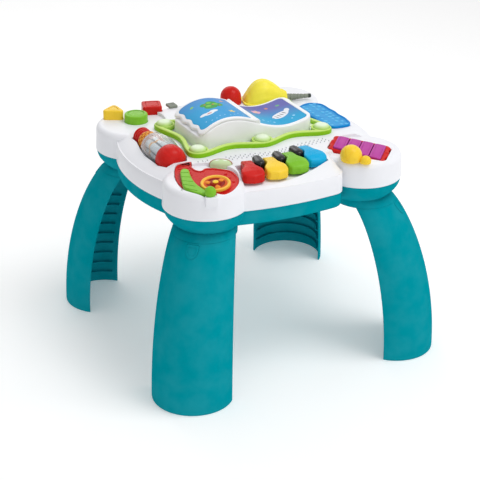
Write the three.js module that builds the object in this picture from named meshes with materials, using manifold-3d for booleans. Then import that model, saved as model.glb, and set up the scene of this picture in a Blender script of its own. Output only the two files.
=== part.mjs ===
// Baby activity table: a lobed white play deck on a teal tray, standing on four arched legs.
// Millimetres, +Z up. The origin is on the floor under the middle of the deck,
// and the keyboard side faces -Y.
import * as THREE from 'three';
import { mergeVertices } from 'three/addons/utils/BufferGeometryUtils.js';
import Module from 'manifold-3d';

const wasm = await Module();
wasm.setup();

// Heights, stacked from the floor up
const legSeam = 231;
const collarHeight = 9;
const flareHeight = 22;
const trayLip = 4.4;
const deckDepth = 41.6;
const lobeDrop = 4.5;
const neckHeight = legSeam + collarHeight;
const flareTop = neckHeight + flareHeight;
const skirtBottom = flareTop + trayLip;
const deckTop = skirtBottom + deckDepth;
const lobeTop = deckTop - lobeDrop;

// Plan of the deck: four round lobes joined by bowed sides
const lobeX = 124;
const lobeY = 118;
const lobeRadius = 59;
const sideReach = 184.5;
const sideRise = 30;
const endReach = 174;
const endRise = 18;
const keyPanelEnd = 71;
const keyPanelRound = 20;

// Plan of the feet and the leg channel
const footX = 166.5;
const footY = 164.8;
const footRadius = 58;
const neckRadius = 43.4;
const neckShift = 2;

// Shared thicknesses and clearances
const wall = 3;
const gap = 0.3;
const slip = 0.6;
const overrun = 4;
const trayInset = 1.5;

const turn = Math.PI / 180;
const fineSteps = 20;
const ringSteps = 18;
const midSteps = 14;
const coarseSteps = 8;
const fewSteps = 3;
const corners = [
  { name: 'front_left', x: -1, y: -1 },
  { name: 'front_right', x: 1, y: -1 },
  { name: 'back_left', x: -1, y: 1 },
  { name: 'back_right', x: 1, y: 1 },
];

const finishes = {
  white: { color: 0xf0f0f5, roughness: 0.38, metalness: 0 },
  teal: { color: 0x0092a2, roughness: 0.45, metalness: 0 },
  lime: { color: 0x8ccb33, roughness: 0.3, metalness: 0 },
  lens: { color: 0xe4f5c8, roughness: 0.2, metalness: 0 },
  red: { color: 0xdc2a25, roughness: 0.28, metalness: 0 },
  yellow: { color: 0xf8cd45, roughness: 0.3, metalness: 0 },
  orange: { color: 0xf7a53a, roughness: 0.3, metalness: 0 },
  green: { color: 0x7cc338, roughness: 0.3, metalness: 0 },
  blue: { color: 0x149fda, roughness: 0.3, metalness: 0 },
  black: { color: 0x0c0c0e, roughness: 0.15, metalness: 0 },
  magenta: { color: 0xbd42a4, roughness: 0.35, metalness: 0 },
  grey: { color: 0x8e9488, roughness: 0.45, metalness: 0 },
  clear: { color: 0xe8eef2, roughness: 0.08, metalness: 0, transparent: true, opacity: 0.35 },
  picture: { color: 0x2f9fd4, roughness: 0.35, metalness: 0 },
  steel: { color: 0xb4b7ba, roughness: 0.35, metalness: 1 },
  board: { color: 0x1f6b3c, roughness: 0.5, metalness: 0 },
  darkPlastic: { color: 0x24262a, roughness: 0.6, metalness: 0 },
};

const table = new THREE.Group();

// Solids and booleans
function solidOf(geometry) {
  geometry.deleteAttribute('normal');
  geometry.deleteAttribute('uv');
  const merged = mergeVertices(geometry);
  const triangles = [];
  for (let k = 0; k < merged.index.count; k += 3) {
    const [a, b, c] = merged.index.array.slice(k, k + 3);
    if (a !== b && b !== c && c !== a) {
      triangles.push(a, b, c);
    }
  }
  return new wasm.Manifold(new wasm.Mesh({
    numProp: 3,
    vertProperties: new Float32Array(merged.attributes.position.array),
    triVerts: new Uint32Array(triangles),
  }));
}

function join(...geometries) {
  return geometries.map(asSolid).reduce((sum, next) => sum.add(next));
}

function cut(body, ...tools) {
  return tools.map(asSolid).reduce((left, next) => left.subtract(next), asSolid(body));
}

function common(first, second) {
  return asSolid(first).intersect(asSolid(second));
}

function asSolid(shape) {
  return shape.isBufferGeometry ? solidOf(shape) : shape;
}

// Tips a shape down towards a heading in degrees, about a level line through a point that stays put
function leaned(shape, { x, y, height, facing, angle }) {
  return asSolid(shape)
    .translate(-x, -y, -height)
    .rotate(0, 0, -facing)
    .rotate(0, angle, 0)
    .rotate(0, 0, facing)
    .translate(x, y, height);
}

function addPiece(name, shape, finish) {
  const mesh = asSolid(shape).getMesh();
  const geometry = new THREE.BufferGeometry();
  geometry.setAttribute('position', new THREE.BufferAttribute(mesh.vertProperties, 3));
  geometry.setIndex(new THREE.BufferAttribute(mesh.triVerts, 1));
  geometry.computeVertexNormals();
  const piece = new THREE.Mesh(geometry, new THREE.MeshStandardMaterial(finish));
  piece.name = name;
  table.add(piece);
}

// Closed forms
function loft(rings) {
  const count = rings[0].length;
  const points = rings.flat();
  const faces = [];
  for (let level = 0; level + 1 < rings.length; level += 1) {
    for (let k = 0; k < count; k += 1) {
      const a = level * count + k;
      const b = level * count + (k + 1) % count;
      faces.push(a, b, b + count, a, b + count, a + count);
    }
  }
  const last = points.length - count;
  const flat = (ring) => ring.map((point) => new THREE.Vector2(point.x, point.y));
  for (const [a, b, c] of THREE.ShapeUtils.triangulateShape(flat(rings[0]), [])) {
    faces.push(c, b, a);
  }
  for (const [a, b, c] of THREE.ShapeUtils.triangulateShape(flat(rings.at(-1)), [])) {
    faces.push(last + a, last + b, last + c);
  }
  const geometry = new THREE.BufferGeometry();
  geometry.setFromPoints(points);
  geometry.setIndex(faces);
  return geometry;
}

function arc(x, y, radius, from, to, steps) {
  return Array.from({ length: steps + 1 }, (_, k) => {
    const angle = from + (to - from) * k / steps;
    return new THREE.Vector2(x + radius * Math.cos(angle), y + radius * Math.sin(angle));
  });
}

function raise(outline, height) {
  return outline.map((point) => new THREE.Vector3(point.x, point.y, height));
}

function circleRing(x, y, radius, height, steps = ringSteps) {
  return raise(arc(x, y, radius, 0, 2 * Math.PI, steps).slice(0, -1), height);
}

function prism(outline, from, to, steps = midSteps) {
  const shape = Array.isArray(outline) ? new THREE.Shape(outline) : outline;
  const settings = { depth: to - from, bevelEnabled: false, curveSegments: steps };
  return new THREE.ExtrudeGeometry(shape, settings).translate(0, 0, from);
}

function softPrism(outline, from, to, round, steps = coarseSteps, rings = 2) {
  const shape = Array.isArray(outline) ? new THREE.Shape(outline) : outline;
  const settings = {
    depth: to - from - 2 * round,
    bevelThickness: round,
    bevelSize: round,
    bevelOffset: -round,
    bevelSegments: rings,
    curveSegments: steps,
  };
  return new THREE.ExtrudeGeometry(shape, settings).translate(0, 0, from + round);
}

function box(width, depth, from, to) {
  return new THREE.BoxGeometry(width, depth, to - from).translate(0, 0, (from + to) / 2);
}

function rod(radius, from, to, steps = coarseSteps) {
  const geometry = new THREE.CylinderGeometry(radius, radius, to - from, steps);
  return geometry.rotateX(Math.PI / 2).translate(0, 0, (from + to) / 2);
}

function turned(profile, steps = midSteps) {
  return new THREE.LatheGeometry(profile.map(([x, y]) => new THREE.Vector2(x, y)), steps)
    .rotateX(Math.PI / 2);
}

// Outline of the bowed deck without its lobes, drawn in by an inset all round
const endInsetShare = 0.25;
const bowSteps = 6;
const roundSteps = 4;

function bow(reach, rise, halfWidth, facing, from, to) {
  const radius = (halfWidth ** 2 + rise ** 2) / (2 * rise);
  const [start, end] = [Math.asin(from / radius), Math.asin(to / radius)];
  return { radius, start, end, facing, centre: radius - reach };
}

function bowPoints(side, inset) {
  const radius = side.radius - inset;
  const points = [];
  for (let k = 0; k <= bowSteps; k += 1) {
    const angle = side.start + (side.end - side.start) * k / bowSteps;
    const across = radius * Math.sin(angle);
    const out = radius * Math.cos(angle) - side.centre;
    points.push(new THREE.Vector2(
      across * Math.cos(side.facing) - out * Math.sin(side.facing),
      across * Math.sin(side.facing) + out * Math.cos(side.facing),
    ));
  }
  return points;
}

function deckOutline(inset) {
  const front = bow(endReach, endRise, lobeX, Math.PI, -lobeX, lobeX);
  const right = bow(sideReach, sideRise, lobeY, -Math.PI / 2, -lobeY, lobeY);
  const back = bow(endReach, endRise, lobeX, 0, -lobeX, lobeX);
  const left = bow(sideReach, sideRise, lobeY, Math.PI / 2, -lobeY, lobeY);
  const endX = keyPanelEnd - endInsetShare * inset;
  const roundX = endX - keyPanelRound;
  const roundY = front.centre - Math.sqrt((front.radius - inset - keyPanelRound) ** 2 - roundX ** 2);
  const touch = Math.atan2(roundY - front.centre, roundX);
  const frontToRound = { ...front, start: -(Math.PI / 2 + touch) };
  return [
    ...bowPoints(frontToRound, inset).reverse(),
    ...arc(roundX, roundY, keyPanelRound, touch, 0, roundSteps).slice(1),
    new THREE.Vector2(endX, -lobeY),
    ...bowPoints(right, inset).reverse(),
    ...bowPoints(back, inset).reverse(),
    ...bowPoints(left, inset).reverse(),
  ];
}

// Height of the deck's sloping border above a point at some inset from its edge
const fasciaDrop = 14.5;
const fasciaWidth = 33;
const skirtDraft = 1.2;
const fasciaStep = 2;
const fasciaShares = [[1, 0], [0.52, 0.38], [0.17, 0.73], [0, 1]];

function fasciaLevels() {
  const innerWidth = fasciaWidth - skirtDraft - fasciaStep;
  return fasciaShares.map(([down, across]) => [
    deckTop - down * fasciaDrop,
    skirtDraft + fasciaStep + across * innerWidth,
  ]);
}

const lobeRound = 9;
const lobeRoundSteps = 3;

function lobeProfile(radius, bottom, top, round) {
  const shoulder = arc(radius - skirtDraft - round, top - round, round, 0, Math.PI / 2, lobeRoundSteps);
  return [
    [0, bottom],
    [radius, bottom],
    ...shoulder.map((point) => [point.x, point.y]),
    [0, top],
  ];
}

function atLobe(geometry, corner) {
  return geometry.translate(corner.x * lobeX, corner.y * lobeY, 0);
}

function deckOuter() {
  const rings = [raise(deckOutline(0), skirtBottom), raise(deckOutline(skirtDraft), deckTop - fasciaDrop)];
  for (const [height, inset] of fasciaLevels()) {
    rings.push(raise(deckOutline(inset), height));
  }
  const lobes = corners.map((corner) => atLobe(
    turned(lobeProfile(lobeRadius, skirtBottom, lobeTop, lobeRound), fineSteps),
    corner,
  ));
  return join(loft(rings), ...lobes);
}

function deckInner() {
  const rings = [raise(deckOutline(wall), skirtBottom - overrun)];
  for (const [height, inset] of fasciaLevels()) {
    rings.push(raise(deckOutline(inset + wall), height - wall));
  }
  const inside = lobeRadius - wall;
  const lobes = corners.map((corner) => atLobe(
    turned(lobeProfile(inside, skirtBottom - overrun, lobeTop - wall, lobeRound - wall), midSteps),
    corner,
  ));
  return join(loft(rings), ...lobes);
}

// Arched leg channel: where its middle stands and how wide it is at a height
const archPower = 2;
const archRound = 0.75;

function legSection(corner, height) {
  const rise = Math.min(height / neckHeight, 1);
  const share = Math.pow(1 - Math.pow(rise, archPower), archRound);
  return {
    x: corner.x * (lobeX - neckShift + (footX - lobeX + neckShift) * share),
    y: corner.y * (lobeY + (footY - lobeY) * share),
    radius: neckRadius + (footRadius - neckRadius) * share,
    facing: Math.atan2(corner.y, corner.x),
  };
}

const channelHalfSpan = 92 * turn;
const channelSteps = 10;

function channelRing(corner, height, outerDrop, innerDrop, halfSpan = channelHalfSpan, steps = channelSteps) {
  const { x, y, radius, facing } = legSection(corner, height);
  const outer = arc(x, y, radius - outerDrop, facing - halfSpan, facing + halfSpan, steps);
  const inner = arc(x, y, radius - innerDrop, facing + halfSpan, facing - halfSpan, steps);
  return raise([...outer, ...inner], height);
}

function fullRing(corner, height, drop, steps) {
  const { x, y, radius } = legSection(corner, height);
  return circleRing(x, y, radius - drop, height, steps);
}

// Legs, each with moulded ribs, a tongue that fills the tray's collar, and a latch window
const legTop = legSeam - gap;
const legLevelShares = [0, 0.24, 0.45, 0.62, 0.75, 0.86, 0.94, 1];
const tongueRise = 19;
const tongueRoot = 12;
const tongueGrip = 0.5;
const tongueHalfSpan = 86 * turn;
const ribCount = 5;
const ribFirst = 16;
const ribPitch = 35;
const ribThickness = 2.2;
const ribDepth = 5;
const ribHalfSpan = 84 * turn;
const ribSteps = 4;
const latchWidth = 17;
const latchHeight = 15.5;
const latchBelowSeam = 2;
const latchProud = 0.8;
const latchFlange = 1.6;
const latchFlangeThickness = 2;
const latchTravel = 2.5;

function latchPrism(corner, grow) {
  const middle = legSection(corner, legSeam - latchHeight / 2);
  const half = latchWidth / 2 + grow;
  const top = legSeam - latchBelowSeam + grow;
  const centre = legSeam - latchBelowSeam - latchHeight + latchWidth / 2;
  const outline = [
    new THREE.Vector2(half, top),
    new THREE.Vector2(-half, top),
    ...arc(0, centre, half, Math.PI, 2 * Math.PI, coarseSteps),
  ];
  const reach = neckRadius + footRadius;
  return prism(outline, 0, reach)
    .rotateX(Math.PI / 2)
    .rotateZ(middle.facing + Math.PI / 2)
    .translate(middle.x, middle.y, 0);
}

function latchShell(corner, outerDrop, innerDrop) {
  const low = legSeam - latchBelowSeam - latchHeight - 2 * latchFlange;
  const levels = [low, (low + legTop) / 2, legTop];
  return loft(levels.map((height) => (
    channelRing(corner, height, outerDrop, innerDrop, Math.PI / 4, coarseSteps)
  )));
}

function leg(corner) {
  const shell = loft(legLevelShares.map((share) => channelRing(corner, share * legTop, 0, wall)));
  const ribs = [];
  for (let k = 0; k < ribCount; k += 1) {
    const height = ribFirst + k * ribPitch;
    ribs.push(loft([height, height + ribThickness].map((level) => (
      channelRing(corner, level, wall / 2, wall + ribDepth, ribHalfSpan, ribSteps)
    ))));
  }
  const grip = wall - tongueGrip;
  const fit = wall + slip + gap;
  const tongue = loft([
    channelRing(corner, legTop - tongueRoot, grip, grip + wall, tongueHalfSpan),
    channelRing(corner, legTop, grip, grip + wall, tongueHalfSpan),
    channelRing(corner, legTop, fit, fit + wall, tongueHalfSpan),
    channelRing(corner, neckHeight, fit, fit + wall, tongueHalfSpan),
    channelRing(corner, legSeam + tongueRise, fit, fit + wall, tongueHalfSpan),
  ]);
  const window = common(
    latchPrism(corner, latchFlange + slip),
    loft([legTop - 2 * tongueRoot - latchHeight, legTop - tongueRoot, legTop, legSeam + tongueRise]
      .map((height) => fullRing(corner, height, wall))),
  );
  return cut(join(shell, tongue, ...ribs), window, latchPrism(corner, gap));
}

function latch(corner) {
  const face = common(latchPrism(corner, 0), latchShell(corner, -latchProud, wall + latchFlangeThickness));
  const flangeDrop = wall + slip + gap;
  const flangeShell = latchShell(corner, flangeDrop, flangeDrop + latchFlangeThickness);
  return join(face, common(latchPrism(corner, latchFlange), flangeShell));
}

// Tray under the deck, with a flared socket over each leg
const flareShares = [[0, 0], [0.3, 0.48], [0.64, 0.86], [1, 1]];
const trayGap = 4;
const trayBottom = neckHeight + trayGap;
const trayRound = 4.5;
const trayRoundShares = [[0, 1], [0.3, 0.3], [1, 0]];
const socketRoof = 3;
const socketDepthShare = 0.64;
const flareRadius = lobeRadius - trayInset;

function flareRing(corner, share, spread, drop, steps) {
  const x = lobeX - neckShift * (1 - share);
  const radius = neckRadius + (flareRadius - neckRadius) * spread - drop;
  return circleRing(corner.x * x, corner.y * lobeY, radius, neckHeight + share * flareHeight, steps);
}

function socket(corner, drop, from, topShare, steps = ringSteps) {
  const collarTop = [];
  for (const [share, spread] of flareShares) {
    if (share <= topShare) {
      collarTop.push(flareRing(corner, share, spread, drop, steps));
    }
  }
  return loft([...from.map((height) => fullRing(corner, height, drop, steps)), ...collarTop]);
}

const batteryRadius = 7.1;
const batteryLength = 50.5;
const batteryPitch = 15;
const batteryCount = 3;
const contactThickness = 0.6;
const doorThickness = 2.4;
const doorFlange = 4;
const doorTab = 10;
const batteryBoxY = 30;
const bayFloor = 10;
const bayWidth = batteryPitch * batteryCount + 2 * gap;
const bayLength = batteryLength + 2 * (contactThickness + 2 * gap);
const bayTop = trayBottom + doorThickness + 2 * batteryRadius + contactThickness + 4 * gap;
const doorWidth = bayWidth + 2 * doorFlange;
const doorLength = bayLength + doorFlange + doorTab;
const doorY = batteryBoxY + (doorTab - doorFlange) / 2;
const doorScrewY = batteryBoxY + bayLength / 2 + doorTab / 2;
const screwRadius = 1.25;
const screwHole = screwRadius + gap;
const screwHeadRadius = 2.8;
const screwHeadHeight = 2;
const screwLength = 20;
const screwSink = 10;
const postX = 98;
const postY = 66;
const postRadius = 4.5;
const postSplit = skirtBottom;
const speakerX = -58;
const speakerY = -42;
const speakerRadius = 28;
const speakerHeight = 17;
const grilleSlots = 3;
const grillePitch = 10;
const grilleWidth = 2.6;

function screw(x, y, headFrom, length) {
  return turned([
    [0, headFrom],
    [screwHeadRadius, headFrom],
    [screwHeadRadius, headFrom + screwHeadHeight],
    [screwRadius, headFrom + screwHeadHeight],
    [screwRadius, headFrom + length],
    [0, headFrom + length],
  ], coarseSteps).translate(x, y, 0);
}

function tray() {
  const rings = trayRoundShares.map(([up, across]) => (
    raise(deckOutline(trayInset + across * trayRound), trayBottom + up * trayRound)
  ));
  rings.push(raise(deckOutline(trayInset), skirtBottom));
  const innerRings = [trayBottom + wall, skirtBottom + overrun];
  const inner = loft(innerRings.map((height) => raise(deckOutline(trayInset + wall), height)));
  const collarFrom = [legSeam];
  const sockets = corners.map((corner) => socket(corner, 0, collarFrom, 1));
  const rims = corners.map((corner) => atLobe(rod(flareRadius, flareTop, skirtBottom, ringSteps), corner));
  const roofHeight = neckHeight + socketDepthShare * flareHeight + socketRoof;
  const wells = corners.map((corner) => (
    atLobe(rod(flareRadius - wall, roofHeight, skirtBottom + overrun, ringSteps), corner)
  ));
  const kept = corners.map((corner) => {
    const top = atLobe(rod(flareRadius, neckHeight + flareHeight / 2, roofHeight, midSteps), corner);
    return join(socket(corner, 0, collarFrom, 1, midSteps), top);
  });
  const bores = corners.map((corner) => (
    socket(corner, wall, [legSeam - overrun, ...collarFrom], socketDepthShare)
  ));
  const bay = box(bayWidth, bayLength, trayBottom - overrun, bayTop).translate(0, batteryBoxY, 0);
  const bayCase = box(bayWidth + 2 * wall, bayLength + 2 * wall, trayBottom, bayTop + wall)
    .translate(0, batteryBoxY, 0);
  const doorBlock = box(doorWidth + 2 * wall, doorLength + 2 * wall, trayBottom, trayBottom + bayFloor)
    .translate(0, doorY, 0);
  const doorSeatTop = trayBottom + doorThickness + gap;
  const doorSeat = box(doorWidth + 2 * gap, doorLength + 2 * gap, trayBottom - overrun, doorSeatTop)
    .translate(0, doorY, 0);
  const doorScrewHole = rod(screwHole, trayBottom, trayBottom + bayFloor - 2 * gap)
    .translate(0, doorScrewY, 0);
  const posts = [];
  const postHoles = [];
  for (const { x, y } of corners) {
    posts.push(rod(postRadius, trayBottom + wall / 2, postSplit - gap).translate(x * postX, y * postY, 0));
    postHoles.push(rod(screwHole, trayBottom, postSplit + overrun).translate(x * postX, y * postY, 0));
    const headRoom = postSplit - screwSink + screwHeadHeight + gap;
    postHoles.push(rod(screwHeadRadius + gap, trayBottom - overrun, headRoom)
      .translate(x * postX, y * postY, 0));
  }
  const slots = [];
  for (let k = 0; k < grilleSlots; k += 1) {
    const across = (k - (grilleSlots - 1) / 2) * grillePitch;
    const length = 2 * Math.sqrt((speakerRadius - 2 * wall) ** 2 - across ** 2);
    slots.push(box(grilleWidth, length, trayBottom - overrun, trayBottom + wall + gap)
      .translate(speakerX + across, speakerY, 0));
  }
  const cavity = join(cut(inner, ...kept), ...wells);
  const shell = cut(join(loft(rings), ...sockets, ...rims), cavity);
  const filled = join(shell, common(join(bayCase, doorBlock, ...posts), loft(rings)));
  return cut(filled, ...bores, bay, doorSeat, doorScrewHole, ...postHoles, ...slots);
}

// Places on the deck: a point given in shares of a lobe's radius from its middle
function onLobe(corner, [across, along]) {
  return new THREE.Vector2(
    corner.x * lobeX + across * lobeRadius,
    corner.y * lobeY + along * lobeRadius,
  );
}

function smoothOutline(points, steps) {
  const loop = points.map((point) => new THREE.Vector3(point.x, point.y, 0));
  const curve = new THREE.CatmullRomCurve3(loop, true);
  return curve.getPoints(steps).slice(0, -1).map((point) => new THREE.Vector2(point.x, point.y));
}

// Grows a closed outline by moving each point out along its normal
function grown(points, amount) {
  return points.map((point, k) => {
    const before = points.at(k - 1);
    const after = points[(k + 1) % points.length];
    const out = new THREE.Vector2(after.y - before.y, before.x - after.x).normalize();
    return new THREE.Vector2(point.x + out.x * amount, point.y + out.y * amount);
  });
}

const [frontLeft, frontRight, backLeft] = corners;
const bedRadius = 45;

// Book in the middle: a fixed housing, a page that turns over, and their pictures
const bookY = 10;
const bookHalfX = 93;
const bookHalfY = 48;
const bookRound = 16;
const bookDraft = 1.5;
const hingeRise = 29;
const hingeHeight = deckTop + hingeRise;
const pageInsetX = 3;
const pageInsetY = 1;
const pageHalfX = bookHalfX - pageInsetX;
const pageHalfY = bookHalfY - pageInsetY;
const pageThickness = 4;
const pageRound = 7;
const pageCrown = 10.9;
const pageDroop = 7;
const pageSink = 3;
const droopPower = 6;
const sinkPower = 3;
const profileSteps = 8;
const barrelRadius = 3.2;
const earRadius = 3.4;
const earLength = 6;
const pinRadius = 1.2;
const tearDepth = 2.2;
const tearWaves = 3;
const pictureMargin = 4.5;
const pictureThickness = 0.7;
const pictureRecess = pictureThickness + gap;
const bookCavity = 8;

function roundedPoints(halfX, halfY, radius, steps = 4) {
  const x = halfX - radius;
  const y = halfY - radius;
  return [
    ...arc(x, y, radius, 0, Math.PI / 2, steps),
    ...arc(-x, y, radius, Math.PI / 2, Math.PI, steps),
    ...arc(-x, -y, radius, Math.PI, 1.5 * Math.PI, steps),
    ...arc(x, -y, radius, 1.5 * Math.PI, 2 * Math.PI, steps),
  ];
}

function shifted(points, x, y) {
  return points.map((point) => new THREE.Vector2(point.x + x, point.y + y));
}

function pageFace(x) {
  const share = Math.min(Math.abs(x) / pageHalfX, 1);
  const crown = pageCrown * Math.sin(Math.PI * share);
  return hingeHeight + pageThickness / 2 + crown - pageDroop * share ** droopPower;
}

function pageSeat(x) {
  return pageFace(x) - pageThickness - gap;
}

function rightFace(x) {
  const share = Math.min(Math.abs(x) / pageHalfX, 1);
  const crown = pageCrown * Math.sin(Math.PI * share);
  return hingeHeight - pageThickness / 2 - gap - crown - pageSink * share ** sinkPower;
}

// A slab between two heights that follow x, drawn from one x to another and run along Y
function slab(from, to, upper, lower, halfY) {
  const outline = [];
  for (let k = 0; k <= profileSteps; k += 1) {
    const x = from + (to - from) * k / profileSteps;
    outline.push(new THREE.Vector2(x, lower(x)));
  }
  for (let k = profileSteps; k >= 0; k -= 1) {
    const x = from + (to - from) * k / profileSteps;
    outline.push(new THREE.Vector2(x, upper(x)));
  }
  return prism(outline, -halfY, halfY).rotateX(Math.PI / 2).translate(0, bookY, 0);
}

function alongY(radius, from, to, x, height, steps = coarseSteps) {
  const geometry = new THREE.CylinderGeometry(radius, radius, to - from, steps);
  return geometry.translate(x, (from + to) / 2, height);
}

function pageOutline(inset) {
  const inner = -barrelRadius - 2 * gap - inset;
  const points = [new THREE.Vector2(inner, pageHalfY - inset)];
  const outer = pageHalfX - inset;
  const half = pageHalfY - inset;
  points.push(...arc(-outer + pageRound, half - pageRound, pageRound, Math.PI / 2, Math.PI, fewSteps));
  const tearSteps = fewSteps * tearWaves;
  for (let k = 1; k < tearSteps; k += 1) {
    const share = k / tearSteps;
    const dip = tearDepth * (0.5 - 0.5 * Math.cos(2 * Math.PI * tearWaves * share));
    points.push(new THREE.Vector2(-outer + dip, (half - pageRound) * (1 - 2 * share)));
  }
  points.push(...arc(-outer + pageRound, -half + pageRound, pageRound, Math.PI, 1.5 * Math.PI, fewSteps));
  points.push(new THREE.Vector2(inner, -half));
  return shifted(points, 0, bookY);
}

function pageBody(inset, upper, lower) {
  const block = prism(pageOutline(inset), deckTop, hingeHeight + pageHalfX);
  return common(slab(-bookHalfX, 0, upper, lower, bookHalfY), block);
}

function flipPage() {
  const plate = pageBody(0, pageFace, (x) => pageFace(x) - pageThickness);
  const barrelHalf = pageHalfY - earLength - gap;
  const barrel = alongY(barrelRadius, bookY - barrelHalf, bookY + barrelHalf, 0, hingeHeight);
  const web = common(
    slab(-2 * barrelRadius, 0, pageFace, (x) => pageFace(x) - pageThickness, barrelHalf),
    box(4 * barrelRadius, 2 * bookHalfY, deckTop, hingeHeight + pageHalfX).translate(0, bookY, 0),
  );
  const recess = pageBody(pictureMargin, (x) => pageFace(x) + overrun, (x) => pageFace(x) - pictureRecess);
  const trunnion = alongY(pinRadius, bookY - pageHalfY, bookY + pageHalfY, 0, hingeHeight);
  return cut(join(plate, barrel, web, trunnion), recess);
}

function pagePicture() {
  return pageBody(pictureMargin + gap, pageFace, (x) => pageFace(x) - pictureThickness);
}

function rightPicture(inset, thickness, lift) {
  const half = (pageHalfX - pictureMargin) / 2;
  const outline = shifted(
    roundedPoints(half - pictureMargin / 2 - inset, pageHalfY - pictureMargin - inset, pageRound),
    half + pictureMargin / 2,
    bookY,
  );
  const upper = (x) => rightFace(x) + lift;
  return common(
    slab(0, bookHalfX, upper, (x) => rightFace(x) - thickness, bookHalfY),
    prism(outline, deckTop, hingeHeight + pageHalfX),
  );
}

function bookOutline(inset, height) {
  const outline = roundedPoints(bookHalfX - inset, bookHalfY - inset, bookRound - inset);
  return raise(shifted(outline, 0, bookY), height);
}

function bookHousing() {
  const top = hingeHeight + pageCrown;
  const block = loft([bookOutline(0, deckTop), bookOutline(bookDraft, top)]);
  const left = slab(-bookHalfX, 0, pageSeat, () => deckTop, bookHalfY);
  const right = slab(0, bookHalfX, rightFace, () => deckTop, bookHalfY);
  const earFrom = pageHalfY - earLength;
  const ears = [-1, 1].flatMap((side) => {
    const [low, high] = side < 0 ? [-pageHalfY, -earFrom] : [earFrom, pageHalfY];
    return [
      alongY(earRadius, bookY + low, bookY + high, 0, hingeHeight),
      box(2 * earRadius, earLength, deckTop + bookCavity, hingeHeight)
        .translate(0, bookY + (low + high) / 2, 0),
    ];
  });
  const groove = alongY(
    barrelRadius + gap, bookY - earFrom, bookY + earFrom, 0, hingeHeight,
  );
  const bore = alongY(pinRadius + gap, bookY - bookHalfY, bookY + bookHalfY, 0, hingeHeight);
  const cavity = loft([
    bookOutline(wall, deckTop - overrun),
    bookOutline(wall, deckTop + bookCavity),
  ]);
  const shell = cut(common(join(left, right), block), groove);
  return cut(
    join(shell, ...ears),
    bore,
    cavity,
    rightPicture(0, pictureRecess, overrun),
  );
}

addPiece('book_housing', bookHousing(), finishes.white);
addPiece('book_picture_right', rightPicture(gap, pictureThickness, 0), finishes.picture);
addPiece('flip_page', flipPage(), finishes.white);
addPiece('flip_page_picture', pagePicture(), finishes.picture);

// Light frame round the book: a narrow waved band with a round pad under each lens
const lensRadius = 12;
const lensRise = 13;
const lensTopShare = 0.62;
const frameRise = 7.5;
const frameBevel = 2.5;
const padX = 100;
const padY = 56;
const padRadius = 15;
const midPadOut = bookHalfY + lensRadius + gap;
const bandWidth = 7;
const frameDipX = 11;
const frameDipY = 13;
const frameWaveSteps = 10;
const guideThickness = 1.2;
const guideInset = 3;

function frameOutline(inset) {
  const radius = padRadius - inset;
  const points = [];
  for (const [index, [sx, sy]] of [[1, 1], [-1, 1], [-1, -1], [1, -1]].entries()) {
    const from = index * Math.PI / 2;
    points.push(...arc(sx * padX, sy * padY, radius, from, from + Math.PI / 2, roundSteps));
    const lengthwise = index % 2 === 0;
    const steps = lengthwise ? frameWaveSteps : frameWaveSteps / 2;
    for (let k = 1; k < steps; k += 1) {
      const along = 1 - 2 * k / steps;
      const wave = lengthwise ? Math.cos(Math.PI * along) ** 2 : Math.sin(Math.PI * along / 2) ** 2;
      const dip = (lengthwise ? frameDipY : frameDipX) * (1 - wave);
      if (lengthwise) {
        const lift = (midPadOut - padY) * (1 - Math.abs(along));
        points.push(new THREE.Vector2(sy * along * padX, sy * (padY + radius + lift - dip)));
      } else {
        points.push(new THREE.Vector2(sx * (padX + radius - dip), -sx * along * padY));
      }
    }
  }
  return shifted(points, 0, bookY);
}

function lensPlaces() {
  const places = corners.map(({ x, y }) => [x * padX, bookY + y * padY]);
  return [...places, [0, bookY - midPadOut], [0, bookY + midPadOut]];
}

function lightFrame() {
  const band = loft([
    raise(frameOutline(0), deckTop),
    raise(frameOutline(0), deckTop + frameRise - frameBevel),
    raise(frameOutline(frameBevel), deckTop + frameRise),
  ]);
  const [low, high] = [deckTop - overrun, deckTop + frameRise + overrun];
  const hole = loft([bookOutline(-gap, low), bookOutline(-gap, high)]);
  const inside = loft([raise(frameOutline(bandWidth), low), raise(frameOutline(bandWidth), high)]);
  const pads = lensPlaces().map(([x, y]) => rod(padRadius, deckTop, high, coarseSteps).translate(x, y, 0));
  const wells = lensPlaces().map(([x, y]) => (
    rod(lensRadius + gap, low, high, midSteps).translate(x, y, 0)
  ));
  return cut(band, cut(inside, ...pads), hole, guideBand(gap, low), ...wells);
}

// Thin strip round the book that joins the lenses and runs under the frame, grown for its recess
function guideBand(grow, from) {
  const to = deckTop + guideThickness + grow;
  const outer = frameOutline(guideInset - grow);
  const solid = loft([raise(outer, from), raise(outer, to)]);
  const inner = -guideInset + grow;
  return cut(solid, loft([bookOutline(inner, from - overrun), bookOutline(inner, to + overrun)]));
}

function lightGuide() {
  const profile = [
    [0, deckTop + gap],
    [lensRadius, deckTop + gap],
    [lensRadius, deckTop + frameRise],
    [lensTopShare * lensRadius, deckTop + lensRise - frameBevel / 2],
    [0, deckTop + lensRise],
  ];
  const domes = lensPlaces().map(([x, y]) => turned(profile, midSteps).translate(x, y, 0));
  return join(guideBand(0, deckTop + gap), ...domes);
}

addPiece('light_frame', lightFrame(), finishes.lime);
addPiece('light_lenses', lightGuide(), finishes.lens);

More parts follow.
